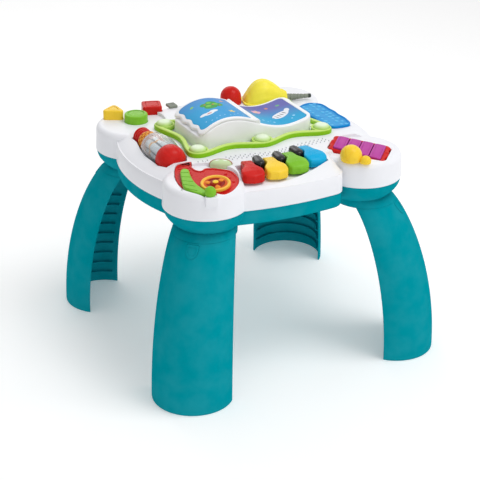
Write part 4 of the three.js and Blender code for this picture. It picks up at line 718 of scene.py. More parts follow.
def horn_outline(grow):
    share, wide, _ = np.array(HORN_SHARES).T
    fine = np.linspace(0, 1, 60)
    x = np.interp(fine, share, (share - 0.5) * 2 * grow + share * HORN_LONG)
    y = np.interp(fine, share, wide * HORN_HALF + grow)
    return np.vstack([np.column_stack([x, -y]), np.column_stack([x, y])[::-1]])


def window_outline(grow):
    return turned_points(circle(0, 0, 1, 64) * (np.array(WINDOW_HALF) + grow), WINDOW_TURN, *WINDOW)


def walls():
    """Closed forms a wall's thickness larger than the pockets of the deck, which the hollow stops at."""
    forms = lobe_rods(BED_R + WALL, LOBE_TOP - WALL, HIGH, 48)
    for x, heading in [(k[1], k[2]) for k in KEYS] + [(x, -8) for x in (-50, -14, 22)]:
        forms.append(at_key(block(-19.1, 19.1, -6.0, 59.1, KEY_FLOOR - WALL, HIGH), x, heading))
    forms.append(guitar_lean(prism("wall", grown(guitar_outline, ROOM), 300.5, HIGH)))
    forms.append(lever_room(ROOM))
    forms.append(xylo_room(ROOM))
    for outline, z in ((window_outline(NEAR), 300.5), (panel_outline(ROOM), 301.5),
                       (turned_points(horn_outline(ROOM), HORN_TURN, *HORN_AT), 300.5)):
        forms.append(prism("wall", outline, z, HIGH))
    trough = [(r + WALL if r else 0, y + math.copysign(WALL, y) * (abs(y) > 60)) for r, y in TROUGH]
    forms.append(on_roller(turned("wall", trough, 48)))
    for _, outline, share, *_ in BUTTONS:
        forms.append(moved(prism("wall", outline(NEAR), LOBE_TOP - 12, HIGH), *on_lobe("back_left", *share)))
    forms.append(rod(19.6, 296, HIGH, *BULB_AT))
    forms.append(moved(block(-12, 12, -6, 6, 294, HIGH), *SWITCH))
    forms.append(at_mallet(block(-12, 18, MALLET_STEM - 6, MALLET_STEM + 6, 293.5, HIGH)))
    for x, y in CORNERS.values():
        forms.append(rod(4.5, SKIRT, HIGH, x * SCREW_X, y * SCREW_Y, 32))
        forms.append(rod(3, 293.3, HIGH, x * 48, -56 + y * 22, 32))
    return forms


def hollow():
    """The room inside the deck, under its rim and lobes and outside the walls of the pockets."""
    rings = [raised(deck_outline(3.5), SKIRT - 3), raised(deck_outline(4.2), TOP - 18.2)]
    for share in np.linspace(0.15, 1, 8):
        rings.append(raised(deck_outline(5 + 30 * share), TOP - 3.2 - RIM_DROP * (1 - share) ** RIM_CURVE))
    form = loft("hollow", rings)
    boolean(form, lobe_rods(LOBE_R - WALL, SKIRT - 3, LOBE_TOP - WALL - 1), "UNION")
    return boolean(form, walls())


def dashes():
    """Rows of short raised dashes on the deck, which follow the front edge of the light frame."""
    forms = []
    for row in range(3):
        for k in range(30):
            x = -112 + 7.1 * k + 2.2 * row
            wave = 7 * abs(math.sin(math.pi * (x + 4) / 205)) ** 1.5 - 5 * math.exp(-(x / 26) ** 2)
            y = -79 - 5.2 * row + wave
            if x > 92 or (x < -92 and row == 2) or math.hypot(x - WINDOW[0], y - WINDOW[1]) < 21:
                continue
            outline = turned_points(rounded(2.1, 0.75, 0.7, 4), (62 - 0.12 * x) * TURN, x, y)
            crest = raised(grown(outline, -0.3), TOP + 0.7)
            forms.append(loft("dash", [raised(outline, TOP - 1), raised(outline, TOP + 0.45), crest]))
    return forms


def tab():
    """Square tab on the shoulder of the front left lobe, in front of the ball of the lever."""
    heading, away = 253 * TURN, 56.6
    x, y = on_lobe("front_left", 0, 0) + away * np.array([math.cos(heading), math.sin(heading)])
    outline = turned_points(rounded(9, 4.2, 1, 6), heading + QUARTER, x, y)
    return loft("tab", [raised(outline, 288), raised(outline, 300.4), raised(grown(outline, -0.6), 301)])


def deck():
    """The white shell with its lobes, the pockets for the toys, and the tab."""
    obj = loft("deck_shell", fascia_rings())
    lobes = []
    for corner in CORNERS:
        profile = [(0, SKIRT), (LOBE_R, SKIRT)]
        for a in np.linspace(0, QUARTER, 14):
            profile.append((LOBE_R - 10.2 + 9 * math.cos(a), LOBE_TOP - 9 + 9 * math.sin(a)))
        profile.append((0, LOBE_TOP))
        lobes.append(lobe_disc("lobe", corner, profile))
    boolean(obj, lobes + dashes(), "UNION")
    cuts = [hollow()]
    for sx, sy in CORNERS.values():
        cuts.append(cutter(circle(sx * LOBE_X, sy * LOBE_Y, BED_R, 112), LOBE_TOP, TOP))
    cuts += key_pockets()
    cuts.append(guitar_lean(prism("guitar_seat", grown(guitar_outline, SLIP), LOBE_TOP, HIGH)))
    cuts.append(lever_room(SLIP))
    cuts.append(cutter(window_outline(GAP), LOBE_TOP, TOP, 0.5))
    cuts.append(xylo_room(SLIP))
    cuts.append(on_roller(turned("trough", TROUGH, 96)))
    for _, outline, share, *_ in BUTTONS:
        cuts.append(moved(cutter(outline(GAP), LOBE_TOP - 9, TOP - 4.6, 0.5), *on_lobe("back_left", *share)))
    cuts.append(cutter(panel_outline(SLIP), TOP - 3.5, TOP, 0.6))
    horn = turned_points(horn_outline(SLIP), HORN_TURN, *HORN_AT)
    cuts.append(cutter(horn, LOBE_TOP, TOP, 0.4))
    cuts.append(rod(BULB_R + SLIP, 299, 320, *BULB_AT, 72))
    cuts.append(moved(block(-5.3, 5.3, -2.3, 2.3, 297, 320), *SWITCH))
    cuts.append(moved(block(-8, 8, -5, 5, 290, 297), *SWITCH))
    cuts.append(at_mallet(block(-6.4, 10.4, MALLET_STEM - 2.4, MALLET_STEM + 2.4, 296.5, 320)))
    for place in (SPINNER, LEVER_BALL):
        cuts.append(guitar_lean(rod(1.9, 300.8, 320, *place, 32)))
    cuts.append(moved(spun(block(-4.5, 4.5, -1.1, 1.1, 301, 320), 58 * TURN), -168, -138))
    for x, y in CORNERS.values():
        cuts.append(rod(SCREW_R, SKIRT - 4, 277, x * SCREW_X, y * SCREW_Y, 32))
    boolean(obj, cuts)
    return boolean(obj, [tab()], "UNION")


def shell_print(x, y, z):
    c = flat(x, 242, 243, 248)
    band = (z > TOP + 0.25) & (y > -105) & (y < -55) & (x > -118) & (x < 96)
    return lay(c, band * 1.0, rgb(176, 180, 186))


piece(painted(deck(), shell_print), "root", "white_plastic", shell, "top_housing")


# Tray
NECK_X, NECK_R, FOOT_SPREAD = 122.0, 43.4, 14.6
FLARE_HIGH, FLARE_SPREAD = 22.0, 14.1


def leg_section(corner, height):
    """Centre, radius and heading of a leg's ring at a height: the leg arches out to its foot."""
    sx, sy = CORNERS[corner]
    rise = min(height / NECK, 1)
    share = (1 - rise**2) ** 0.75
    x, y = sx * (NECK_X + 44.5 * share), sy * (LOBE_Y + 46.8 * share)
    return x, y, NECK_R + FOOT_SPREAD * share, math.atan2(sy, sx)


def flare_ring(corner, share, drop, steps=96):
    """Ring of the collar under a lobe, which flares from the leg's neck to the lobe's size."""
    sx, sy = CORNERS[corner]
    spread = math.sin(QUARTER * share) ** 0.93
    x, y = sx * (NECK_X + (LOBE_X - NECK_X) * share), sy * LOBE_Y
    return raised(circle(x, y, NECK_R + FLARE_SPREAD * spread - drop, steps), NECK + FLARE_HIGH * share)


def full_ring(corner, height, drop, steps=96):
    x, y, radius, _ = leg_section(corner, height)
    return raised(circle(x, y, radius - drop, steps), height)


def socket(name, corner, drop, low, top_share):
    rings = [full_ring(corner, z, drop) for z in low]
    rings += [flare_ring(corner, s, drop) for s in np.linspace(0, top_share, 14)]
    return loft(name, rings)


BAY = dict(x=22.8, y0=3.85, y1=56.15, top=262.4)
DOOR = dict(x=26.8, y0=-0.15, y1=66.15, screw_y=61.15)


def tray_hull(name):
    rings = [raised(deck_outline(1.5 + 4.5 * (1 - math.sin(a))), 244 + 4.5 * (1 - math.cos(a)))
             for a in np.linspace(0, QUARTER, 8)]
    return loft(name, rings + [raised(deck_outline(1.5), SKIRT)])


def boxed(place, grow, z0, z1):
    """A block round the battery bay or its door."""
    return block(-place["x"] - grow, place["x"] + grow, place["y0"] - grow, place["y1"] + grow, z0, z1)


def tray():
    """A hollow shell with four sockets, screw posts, a battery bay and the speaker's slots."""
    low = [LEG_SEAM, 232, 234, 236, 238, 239.5]
    shell = tray_hull("tray_shell")
    forms = [socket("socket", c, 0, low, 1) for c in CORNERS]
    forms += lobe_rods(57.5, 261.9, SKIRT)
    boolean(shell, forms, "UNION")
    inner = loft("inner", [raised(deck_outline(4.5), 247), raised(deck_outline(4.5), SKIRT + 4)])
    kept = [socket("kept", c, -0.02, low, 1) for c in CORNERS]
    kept += lobe_rods(57.52, 251, 257.1)
    boolean(inner, kept)
    boolean(inner, lobe_rods(54.5, 257.1, SKIRT + 4), "UNION")
    boolean(shell, [inner])
    case = boxed(BAY, WALL, 244.4, BAY["top"] + WALL)
    seat = boxed(DOOR, WALL, 244.4, 254)
    posts = [rod(4.5, 245.5, SKIRT - GAP, sx * SCREW_X, sy * SCREW_Y) for sx, sy in CORNERS.values()]
    boolean(shell, [case, seat] + posts, "UNION")
    cuts = [socket("bore", c, WALL, [227, 231, 234, 237, 239.5], 0.64) for c in CORNERS]
    cuts.append(boxed(BAY, 0, 240, BAY["top"]))
    cuts.append(boxed(DOOR, GAP, 240, 246.7))
    cuts.append(rod(SCREW_R, 244, 253.4, 0, DOOR["screw_y"], 24))
    for sx, sy in CORNERS.values():
        cuts.append(rod(SCREW_R, 244, 270, sx * SCREW_X, sy * SCREW_Y, 24))
        cuts.append(rod(3.1, 240, 258.7, sx * SCREW_X, sy * SCREW_Y, 32))
    for across in (-10, 0, 10):
        half = math.sqrt(22**2 - across**2)
        cuts.append(moved(prism("slot", rounded(1.3, half, 1.2, 5), 240, 247.3), -58 + across, -42))
    boolean(shell, cuts)
    return shell


piece(tray(), "root", "teal_plastic", teal, "base_tray")


# Legs and latches
SPAN = 92 * TURN
LEG_TOP = LEG_SEAM - GAP


def channel_ring(corner, height, outer_drop, inner_drop, span=SPAN, steps=64, round_ends=True):
    """Outline of a leg's C-shaped channel at a height, between two distances inside its surface."""
    x, y, radius, facing = leg_section(corner, height)
    r_out, r_in = radius - outer_drop, radius - inner_drop
    if not round_ends:
        return raised(np.vstack([arc(x, y, r_out, facing - span, facing + span, steps),
                                 arc(x, y, r_in, facing + span, facing - span, steps)]), height)
    half, middle = (r_out - r_in) / 2, (r_out + r_in) / 2
    span = span - half / middle
    points = [arc(x, y, r_out, facing - span, facing + span, steps)]
    for sign in (1, -1):
        a = facing + sign * span
        cx, cy = x + middle * math.cos(a), y + middle * math.sin(a)
        start = a if sign > 0 else a + math.pi
        points.append(arc(cx, cy, half, start, start + math.pi, 6)[1:-1])
        if sign > 0:
            points.append(arc(x, y, r_in, facing + span, facing - span, steps))
    return raised(np.vstack(points), height)


def latch_prism(corner, grow, reach=110):
    """The latch's outline, flat above and round below, drawn out through the leg's wall."""
    x, y, _, facing = leg_section(corner, LEG_SEAM - 7.75)
    half, top, centre = 8.5 + grow, 229 + grow, 222.0
    low = arc(0, centre, half, math.pi, 2 * math.pi, 20)
    outline = np.vstack([[(half - 1, top), (-half + 1, top), (-half, top - 1)], low, [(half, top - 1)]])
    obj = loft("latch", [raised(outline, 0), raised(outline, reach)])
    return moved(spun(spun(obj, QUARTER, "X"), facing + QUARTER), x, y)


def latch_shell(corner, outer_drop, inner_drop):
    levels = np.linspace(LEG_SEAM - 20.7, LEG_TOP, 8)
    rings = [channel_ring(corner, z, outer_drop, inner_drop, QUARTER / 2, 40, False) for z in levels]
    return loft("shell", rings)


def web(corner, a0, z0, a1, z1, thick=1.8, depth=4.2, steps=28):
    """A thin rib on the inside of a channel from one (angle, height) to another."""
    rings = []
    for t in np.linspace(0, 1, steps):
        z = z0 + (z1 - z0) * t
        x, y, radius, facing = leg_section(corner, z)
        a = facing + (a0 + (a1 - a0) * t) * TURN
        r0, r1 = radius - 1.5, radius - WALL - depth
        spread = min(thick / 2 * math.hypot(1, (a1 - a0) * TURN * radius / (z1 - z0)), 3.2 * thick)
        out = np.array([math.cos(a), math.sin(a)])
        corners = [(r0, -spread), (r0, spread), (r1, spread * 0.7), (r1, -spread * 0.7)]
        rings.append(np.array([(*(np.array([x, y]) + r * out), z + dz) for r, dz in corners]))
    return loft("web", rings)


def leg(corner):
    """A channel with cross ribs, crossed webs under its top, and the tongue that enters the tray."""
    top = LEG_TOP
    middle = np.linspace(6, top - 1.1, 44)
    levels = np.concatenate([[0, 0.35, 0.9, 1.6], middle, [top - 0.5, top - 0.12, top]])
    rings = []
    for z in levels:
        ease = max(0, 1 - z / 1.6) ** 2 * 0.8 + max(0, 1 - (top - z) / 1.1) ** 2 * 0.5
        rings.append(channel_ring(corner, z, ease, WALL - ease * 0.4))
    obj = loft("leg_" + corner + "_shell", rings)
    forms = []
    for k in range(9):
        z = 16 + 17.5 * k
        rib = [channel_ring(corner, z + dz, 1.5, WALL + 5 - d, 84 * TURN, 40, False)
               for dz, d in ((0, 0.5), (0.4, 0), (1.8, 0), (2.2, 0.5))]
        forms.append(loft("rib", rib))
    for a in (-60, -20, 20):
        forms.append(web(corner, a, 174, a + 40, 224))
        forms.append(web(corner, a + 40, 174, a, 224))
    grip, fit = 2.5, 3.9
    steps = [(top - 12, grip), (225, grip), (top, grip)]
    steps += [(z, fit) for z in (top + 0.05, 236, 240, 250)]
    tongue = [channel_ring(corner, z, drop, drop + WALL, 86 * TURN, 40, False) for z, drop in steps]
    forms.append(loft("tongue", tongue))
    boolean(obj, forms, "UNION")
    low = [full_ring(corner, z, WALL, 64) for z in (191.2, 205, 218.7, 225, top, 240, 250)]
    window = latch_prism(corner, 2.2)
    boolean(window, [loft("bore", low)], "INTERSECT")
    boolean(obj, [window, latch_prism(corner, GAP)])
    return obj


def latch(corner):
    """A grooved button in the leg's window with a wider flange behind the wall."""
    face = latch_prism(corner, 0)
    boolean(face, [latch_shell(corner, -0.8, WALL + 2)], "INTERSECT")
    flange = latch_prism(corner, 1.6)
    boolean(flange, [latch_shell(corner, 3.9, 5.9)], "INTERSECT")
    groove = latch_prism(corner, -2.6)
    boolean(groove, [latch_shell(corner, -2, 0)], "INTERSECT")
    boolean(face, [flange], "UNION")
    boolean(face, [groove])
    face.name = "latch_" + corner + "_button"
    return face


for corner_name in CORNERS:
    piece(leg(corner_name), "root", "teal_plastic", teal, "leg_" + corner_name)
    piece(latch(corner_name), "latch_" + corner_name, "teal_plastic", teal, "leg_latch_" + corner_name)


# Book
BOOK_X, BOOK_DEEP, BOOK_ROUND = 93.0, 48.0, 16.0
PIN_R, BARREL_R, BARREL_HALF, EAR_END = 1.2, 3.2, 40.7, 47.0


def page_share(x):
    return np.minimum(np.abs(x) / 90, 1)


def page_face(x, y=0):
    s = page_share(x)
    return HINGE + 2 + 10.9 * np.sin(np.pi * s) - 7 * s**6 + 0 * np.asarray(y)


def page_seat(x, y=0):
    return page_face(x, y) - 4.3


def right_face(x, y=0):
    s = page_share(x)
    return HINGE - 2.3 - 10.9 * np.sin(np.pi * s) - 3 * s**3 + 0 * np.asarray(y)


def chaikin(points, times=3):
    for _ in range(times):
        ahead = np.roll(points, -1, 0)
        points = np.stack([0.75 * points + 0.25 * ahead, 0.25 * points + 0.75 * ahead], 1).reshape(-1, 2)
    return points


def softened(points, spacing=3.0, times=3):
    return chaikin(resampled(np.asarray(points, float), spacing), times)


def page_outline(inset, spacing=1.0):
    inner, outer, half = -BARREL_R - SLIP - inset, 90 - inset, EAR_END - inset
    points = [(inner, half)]
    points += list(arc(-outer + 7, half - 7, 7, QUARTER, math.pi, 10))
    for k in range(1, 60):
        share = k / 60
        dip = 2.2 * (0.5 - 0.5 * math.cos(2 * math.pi * 3 * share))
        points.append((-outer + dip, (half - 7) * (1 - 2 * share)))
    points += list(arc(-outer + 7, -half + 7, 7, math.pi, 3 * QUARTER, 10))
    points.append((inner, -half))
    return resampled(np.array(points), spacing) + np.array([0, BOOK_Y])


def right_outline(inset, spacing=1.0):
    loop = rounded(40.5 - inset, 42.5 - inset, 7, 10)
    return resampled(loop, spacing) + np.array([45, BOOK_Y])


def half_housing(name, side, top):
    """One half of the book, from the spine to its outer end; the right one reaches just past it."""
    start = -ROOM if side > 0 else 0.0
    across, along = BOOK_X - BOOK_ROUND, BOOK_DEEP - BOOK_ROUND
    loop = resampled(np.vstack([
        [(start, -BOOK_DEEP)],
        arc(across, -along, BOOK_ROUND, -QUARTER, 0, 14),
        arc(across, along, BOOK_ROUND, 0, QUARTER, 14),
        [(start, BOOK_DEEP)]]), 1.6)
    if side < 0:
        loop = (loop * np.array([-1, 1]))[::-1]
    return pillow(name, loop + np.array([0, BOOK_Y]), top, TOP, 2.6, 0.2, 20, 8, (side * 45, BOOK_Y))


def on_spine(r, y0, y1, steps=48):
    """A round bar along the spine, from one distance from the book's middle to another."""
    obj = spun(turned("bar", [(0, y0), (r, y0), (r, y1), (0, y1)], steps), -QUARTER, "X")
    return moved(obj, 0, BOOK_Y, HINGE)


def tapered(obj, base, share):
    """Draws an object in towards the book's middle as it rises."""
    for v in obj.data.vertices:
        k = 1 - share * (v.co.z / MM - base)
        v.co.x *= k
        v.co.y = (v.co.y - BOOK_Y * MM) * k + BOOK_Y * MM
    return obj


def book_housing():
    """Both halves of the book with a groove and two ears on the spine and a bed for the picture."""
    obj = half_housing("book_body", -1, page_seat)
    boolean(obj, [half_housing("right", 1, right_face)], "UNION")
    tapered(obj, TOP, 1.5 / BOOK_X / 40)
    groove_end, ear, low = BARREL_HALF + GAP, 3.4, 316
    boolean(obj, [on_spine(BARREL_R + GAP, -groove_end, groove_end)])
    ears = []
    for y0, y1 in ((-EAR_END, -groove_end), (groove_end, EAR_END)):
        ears.append(on_spine(ear, y0, y1))
        ears.append(moved(block(-ear, ear, y0, y1, low, HINGE), 0, BOOK_Y))
    boolean(obj, ears, "UNION")
    inside = resampled(rounded(BOOK_X - WALL, BOOK_DEEP - WALL, BOOK_ROUND - WALL), 2) + np.array([0, BOOK_Y])
    floor = lambda x, y: right_face(x) - 1.0
    recess = pillow("recess", right_outline(0, 1.4), 360, floor, 0.5, 0.15, 26)
    bore = on_spine(PIN_R + GAP, -BOOK_DEEP, BOOK_DEEP)
    return boolean(obj, [bore, prism("cavity", inside, 300, low), recess])


def flip_page():
    """The page, the web that joins it to its barrel on the spine, and the pin through the ears."""
    under = lambda x, y: page_face(x) - 4
    obj = pillow("page_plate", page_outline(0, 1.3), page_face, under, 1.5, 1.2, 26)
    half = BARREL_HALF
    strip = resampled(np.array([(-9.0, -half), (0.0, -half), (0.0, half), (-9.0, half)]), 1.5)
    web_block = pillow("web", strip + np.array([0, BOOK_Y]), page_face, under, 0.8, 0.2, 12)
    boolean(obj, [on_spine(BARREL_R, -half, half), web_block, on_spine(PIN_R, -EAR_END, EAR_END)], "UNION")
    floor = lambda x, y: page_face(x) - 1.0
    return boolean(obj, [pillow("recess", page_outline(4.5, 1.4), 380, floor, 0.5, 0.15, 26)])


def left_print(x, y, z):
    """A made-up garden: leafy bush, cloud, kite and seeds on a blue sky."""
    u = np.clip((-x - 10) / 75, 0, 1)
    c = lay(flat(x, 34, 150, 214), u * 0.5, rgb(70, 185, 232))
    c = lay(c, np.clip((y - 18) / 45, 0, 1) * 0.75, rgb(96, 130, 200))
    c = spots(c, x, y, [(-36, 22, 9), (-48, 18, 10), (-42, 30, 9), (-54, 27, 7)], rgb(58, 160, 66), 0.85)
    c = spots(c, x, y, [(-38, 25, 4.5), (-50, 21, 4.5), (-45, 32, 4)], rgb(120, 200, 70), 0.8)
    c = spots(c, x, y, [(-42, 24, 1.8), (-53, 28, 1.6), (-33, 19, 1.6)], rgb(228, 60, 50), soft=0.5)
    c = spots(c, x, y, [(-60, -2, 8), (-52, 1, 7), (-68, 0, 6)], rgb(240, 246, 250), 0.6)
    c = lay(c, blob(x, y, -60, -2, 5, 1.6), rgb(214, 120, 120))
    c = lay(c, star(x, y, -27, -8, 5.4), rgb(246, 214, 70))
    c = lay(c, star(x, y, -22, 38, 3.6, 4), rgb(244, 150, 60))
    c = lay(c, blob(x, y, -70, 36, 3.4, 2.2, 30), rgb(150, 210, 80))
    seeds = [(-16 - 7.2 * k, -22 + 3 * math.sin(k * 1.7), 1.1) for k in range(9)]
    return spots(c, x, y, seeds, rgb(180, 226, 250), soft=0.5)


def right_print(x, y, z):
    """A made-up pond: pale fish with dark bands, a flower and bubbles on a violet to cyan wash."""
    far = np.clip((y + x * 0.25 - 2) / 46, 0, 1)
    c = lay(flat(x, 26, 166, 216), far, rgb(104, 104, 178))
    c = lay(c, blob(x, y, 58, 2, 17, 8.5, 24), rgb(238, 240, 246))
    c = lay(c, blob(x, y, 73, 11, 6, 4.2, 70), rgb(238, 240, 246))
    for k in range(4):
        c = lay(c, blob(x, y, 50 + 5.2 * k, -1.6 + 2.4 * k, 1.1, 5.6, 24), rgb(26, 28, 40))
    c = lay(c, blob(x, y, 44, -4, 1.2, 1.2, soft=0.4), rgb(26, 28, 40))
    petals = [(px, py, 3.2) for px, py in circle(30, 26, 4.6, 5)]
    c = spots(c, x, y, petals, rgb(232, 176, 206))
    c = lay(c, blob(x, y, 30, 26, 2.4, 2.4, soft=0.5), rgb(246, 214, 90))
    c = lay(c, star(x, y, 52, 36, 3.4), rgb(244, 158, 66))
    c = lay(c, blob(x, y, 70, 34, 3.6, 2.2, -20), rgb(110, 196, 110))
    bubbles = [(22, -12, 2.2), (27, -18, 1.5), (33, -14, 1.2), (36, -20, 2.0), (66, -19, 1.6), (72, -13, 2.2)]
    return spots(c, x, y, bubbles, rgb(150, 216, 246), soft=0.5)


def picture(name, outline, face):
    """A thin print that follows a face of the book."""
    return pillow(name, outline, face, lambda x, y: face(x) - 0.7, 0.25, 0.1, 64, 3)


left_picture = painted(picture("page_print", page_outline(4.8, 0.9), page_face), left_print)
right_picture = painted(picture("book_print", right_outline(0.3, 0.9), right_face), right_print)
piece(book_housing(), "root", "white_plastic", white, "book_housing")
piece(flip_page(), "page", "white_plastic", white, "flip_page")
piece(left_picture, "page", "printed_picture", print_and_light_mat, "flip_page_picture")
piece(right_picture, "root", "printed_picture", print_and_light_mat, "book_picture_right")


# Light frame and lenses
FRAME_X, FRAME_Y, FRAME_ROUND, LENS_R = 100, 56, 15, 12


def frame_outline(inset):
    """The waved band round the book, with a round corner at each outer lens."""
    radius = FRAME_ROUND - inset
    points = []
    for index, (sx, sy) in enumerate([(1, 1), (-1, 1), (-1, -1), (1, -1)]):
        start = index * QUARTER
        points += list(arc(sx * FRAME_X, sy * FRAME_Y, radius, start, start + QUARTER, 12))
        lengthwise = index % 2 == 0
        steps = 80 if lengthwise else 44
        for k in range(1, steps):
            along = 1 - 2 * k / steps
            if lengthwise:
                dip = 13 * (1 - math.cos(math.pi * along) ** 2)
                lift = 4.3 * (1 - abs(along))
                points.append((sy * along * FRAME_X, sy * (FRAME_Y + radius + lift - dip)))
            else:
                dip = 11 * (1 - math.sin(math.pi * along / 2) ** 2)
                points.append((sx * (FRAME_X + radius - dip), -sx * along * FRAME_Y))
    return np.array(points) + np.array([0, BOOK_Y])


LENSES = [(sx * FRAME_X, BOOK_Y + sy * FRAME_Y) for sx, sy in CORNERS.values()]
LENSES += [(0, BOOK_Y - 60.3), (0, BOOK_Y + 60.3)]


def book_loop(inset):
    loop = rounded(BOOK_X - inset, BOOK_DEEP - inset, BOOK_ROUND - inset)
    return resampled(loop, 2) + np.array([0, BOOK_Y])


def light_frame():
    """A band with a rounded top, a ring round every lens, and room below for the lens strip."""
    low, high, soft = TOP - 4, TOP + 7.5, 3.0
    rings = [raised(frame_outline(inset), TOP + z) for inset, z in ((0.5, 0), (0.15, 0.2), (0, 0.6))]
    for a in np.linspace(0, QUARTER, 9):
        rings.append(raised(frame_outline(soft * (1 - math.cos(a))), high - soft + soft * math.sin(a)))
    obj = loft("frame_band", rings)
    inside = cutter(frame_outline(7), low, high, 1.2)
    boolean(inside, [rod(FRAME_ROUND, low - 4, HIGH + 20, x, y, 64) for x, y in LENSES])
    wells = [moved(cutter(circle(0, 0, LENS_R + GAP, 72), low, high, 1.0), x, y) for x, y in LENSES]
    strip = prism("strip", frame_outline(2.7), low, TOP + 1.5)
    hole = prism("hole", book_loop(-GAP), low, TOP + 30)
    return boolean(obj, [inside, strip, hole] + wells)


def lenses():
    """The thin strip under the band and a dome at every lens."""
    low, side, dome = TOP + GAP, TOP + 7, 6
    band = prism("lens_guide", frame_outline(3), low, TOP + 1.2)
    boolean(band, [prism("hole", book_loop(-3), TOP - 6, TOP + 6)])
    profile = [(0, low), (LENS_R, low), (LENS_R, side)]
    for a in np.linspace(0.2, QUARTER, 14)[:-1]:
        profile.append((LENS_R * math.cos(a) ** 0.8, side + dome * math.sin(a)))
    profile.append((0, side + dome))
    return boolean(band, [moved(turned("dome", profile, 72), x, y) for x, y in LENSES], "UNION")


def frame_lime_and_painted_highlight(x, y, z):
    """Deep lime round the side of the band, and pale lime on its top as a painted highlight of the lit top.
    """
    c = flat(x, 140, 202, 34)
    # painted highlight: the top of the band is paler than its side
    return lay(c, (z - TOP - 5.6) / 1.4, rgb(206, 234, 128))


def lens_painted_glow(x, y, z):
    """A painted glow, pale over every lens, that turns lime towards its rim."""
    near = np.full(len(x), 1e3)
    for cx, cy in LENSES:
        near = np.minimum(near, np.hypot(x - cx, y - cy))
    # painted glow: pale at the middle of each lens, lime towards its rim
    glow = np.clip((near - 7) / 5.5, 0, 1)
    c = flat(x, 236, 250, 222)
    c = lay(c, glow, rgb(186, 226, 110))
    return lay(c, near - 13, rgb(236, 246, 206))


piece(painted(light_frame(), frame_lime_and_painted_highlight), "root", "lime_plastic", print_and_light_mat, "light_frame")
piece(painted(lenses(), lens_painted_glow), "root", "pale_lens", print_and_light_mat, "light_lenses")


# Keyboard
def key_top(x, y):
    """Height of a key's top, along y from its nose and a little lower to the sides."""
    along = [-4, 0, 3, 9.6, 19, 28.8, 40, 52]
    rise = [2.4, 3.7, 5.3, 7.6, 8.7, 9, 8, 6.2]
    return TOP + np.interp(y, along, rise) - 0.0045 * x**2


def key(name, x, heading):
    """A cap with a hub under its back, and a pin through the hub."""
    outline = softened(key_outline(0), 2.4, 3)
    obj = pillow(name + "_cap", outline, key_top, KEY_UNDER, 2.4, 0.5, 20, 8, (0, 24))
    hub = block(-6, 6, 42.7, 47.7, 297.35, 312)
    pin = moved(spun(rod(PIN_R, -8.5, 8.5, steps=24), QUARTER, "Y"), 0, 45.2, 299.15)
    boolean(obj, [hub, pin], "UNION")
    return at_key(obj, x, heading)


def black_key(index, x, heading):
    outline = resampled(rounded(7, 13.5, 6.7, 12), 0.9)
    top = lambda u, v: 318 - 2.2 * np.clip((-v - 4) / 9, 0, 1) ** 2 - 0.03 * u**2
    obj = pillow("black_key_cap_%d" % index, outline, top, KEY_LEDGE + GAP, 2.6, 0.4, 14, 8, (0, 0))
    return at_key(moved(obj, 0, 42), x, heading)


for name, x, heading, mat, slot in KEYS:
    piece(key(name, x, heading), name, slot, mat, name)
for k, ((_, xa, ha, _, _), (_, xb, hb, _, _)) in enumerate(zip(KEYS, KEYS[1:]), 1):
    piece(black_key(k, (xa + xb) / 2, (ha + hb) / 2), "root", "black_plastic", black, "black_key_%d" % k)


# Guitar
PLATE_LOW, PLATE_TOP = LOBE_TOP + GAP, LOBE_TOP + 4.3
DISC_R, DISC_HOLE, BOSS_AT = 20.5, 1.9, 10.6
BOSSES = [(BOSS_AT * math.cos(a), BOSS_AT * math.sin(a)) for a in np.radians([20, 140, 260])]


def slab(name, outline, z0, z1, soft=1.0, low=0.3, steps=6):
    """A slab over any outline, the upper rim rounded and the lower one eased."""
    rings = [raised(grown(outline, -low), z0), raised(outline, z0 + low)]
    for k in range(steps + 1):
        a = QUARTER * k / steps
        rings.append(raised(grown(outline, -soft * (1 - math.cos(a))), z1 - soft + soft * math.sin(a)))
    return loft(name, rings)


def guitar_plate():
    obj = slab("guitar_body", guitar_outline, PLATE_LOW, PLATE_TOP, 1.2)
    face = cutter(grown(guitar_outline, -3.0), PLATE_TOP - 0.9, PLATE_TOP, 0.3)
    boolean(face, [rod(DISC_R + 2, PLATE_LOW + 1, PLATE_TOP, *SPINNER, 96)])
    boolean(obj, [face])
    frets = []
    for k in range(5):
        x, y = on_lobe("front_left", -0.2 - 0.028 * k, 0.78 - 0.11 * k)
        outline = turned_points(rounded(8.2, 0.55, 0.5, 3), -12 * TURN, x, y)
        frets.append(loft("fret", [raised(outline, PLATE_TOP - 2), raised(outline, PLATE_TOP - 0.25)]))
    for k in range(3):
        x, y = on_lobe("front_left", 0.5, -0.05 - 0.2 * k)
        frets.append(moved(turned("boss", soft_profile(2.2, PLATE_TOP - 2, PLATE_TOP + 0.2, 1.0), 32), x, y))
    boolean(obj, frets, "UNION")
    trim = slab("trim", guitar_outline, PLATE_LOW, PLATE_TOP + 0.4, 0.4, 0)
    boolean(obj, [trim], "INTERSECT")
    clear = rod(LEVER_BALL_R + SLIP, LOBE_TOP, HIGH, *LEVER_BALL, 64)
    hole = rod(DISC_HOLE, LOBE_TOP, HIGH, *SPINNER, 32)
    return boolean(obj, [clear, hole])


def domed(rows, r, z, high, angles):
    """Adds the rising (radius, height) rows of a dome to a profile."""
    return rows + [(r * math.cos(a), z + high * math.sin(a)) for a in angles]


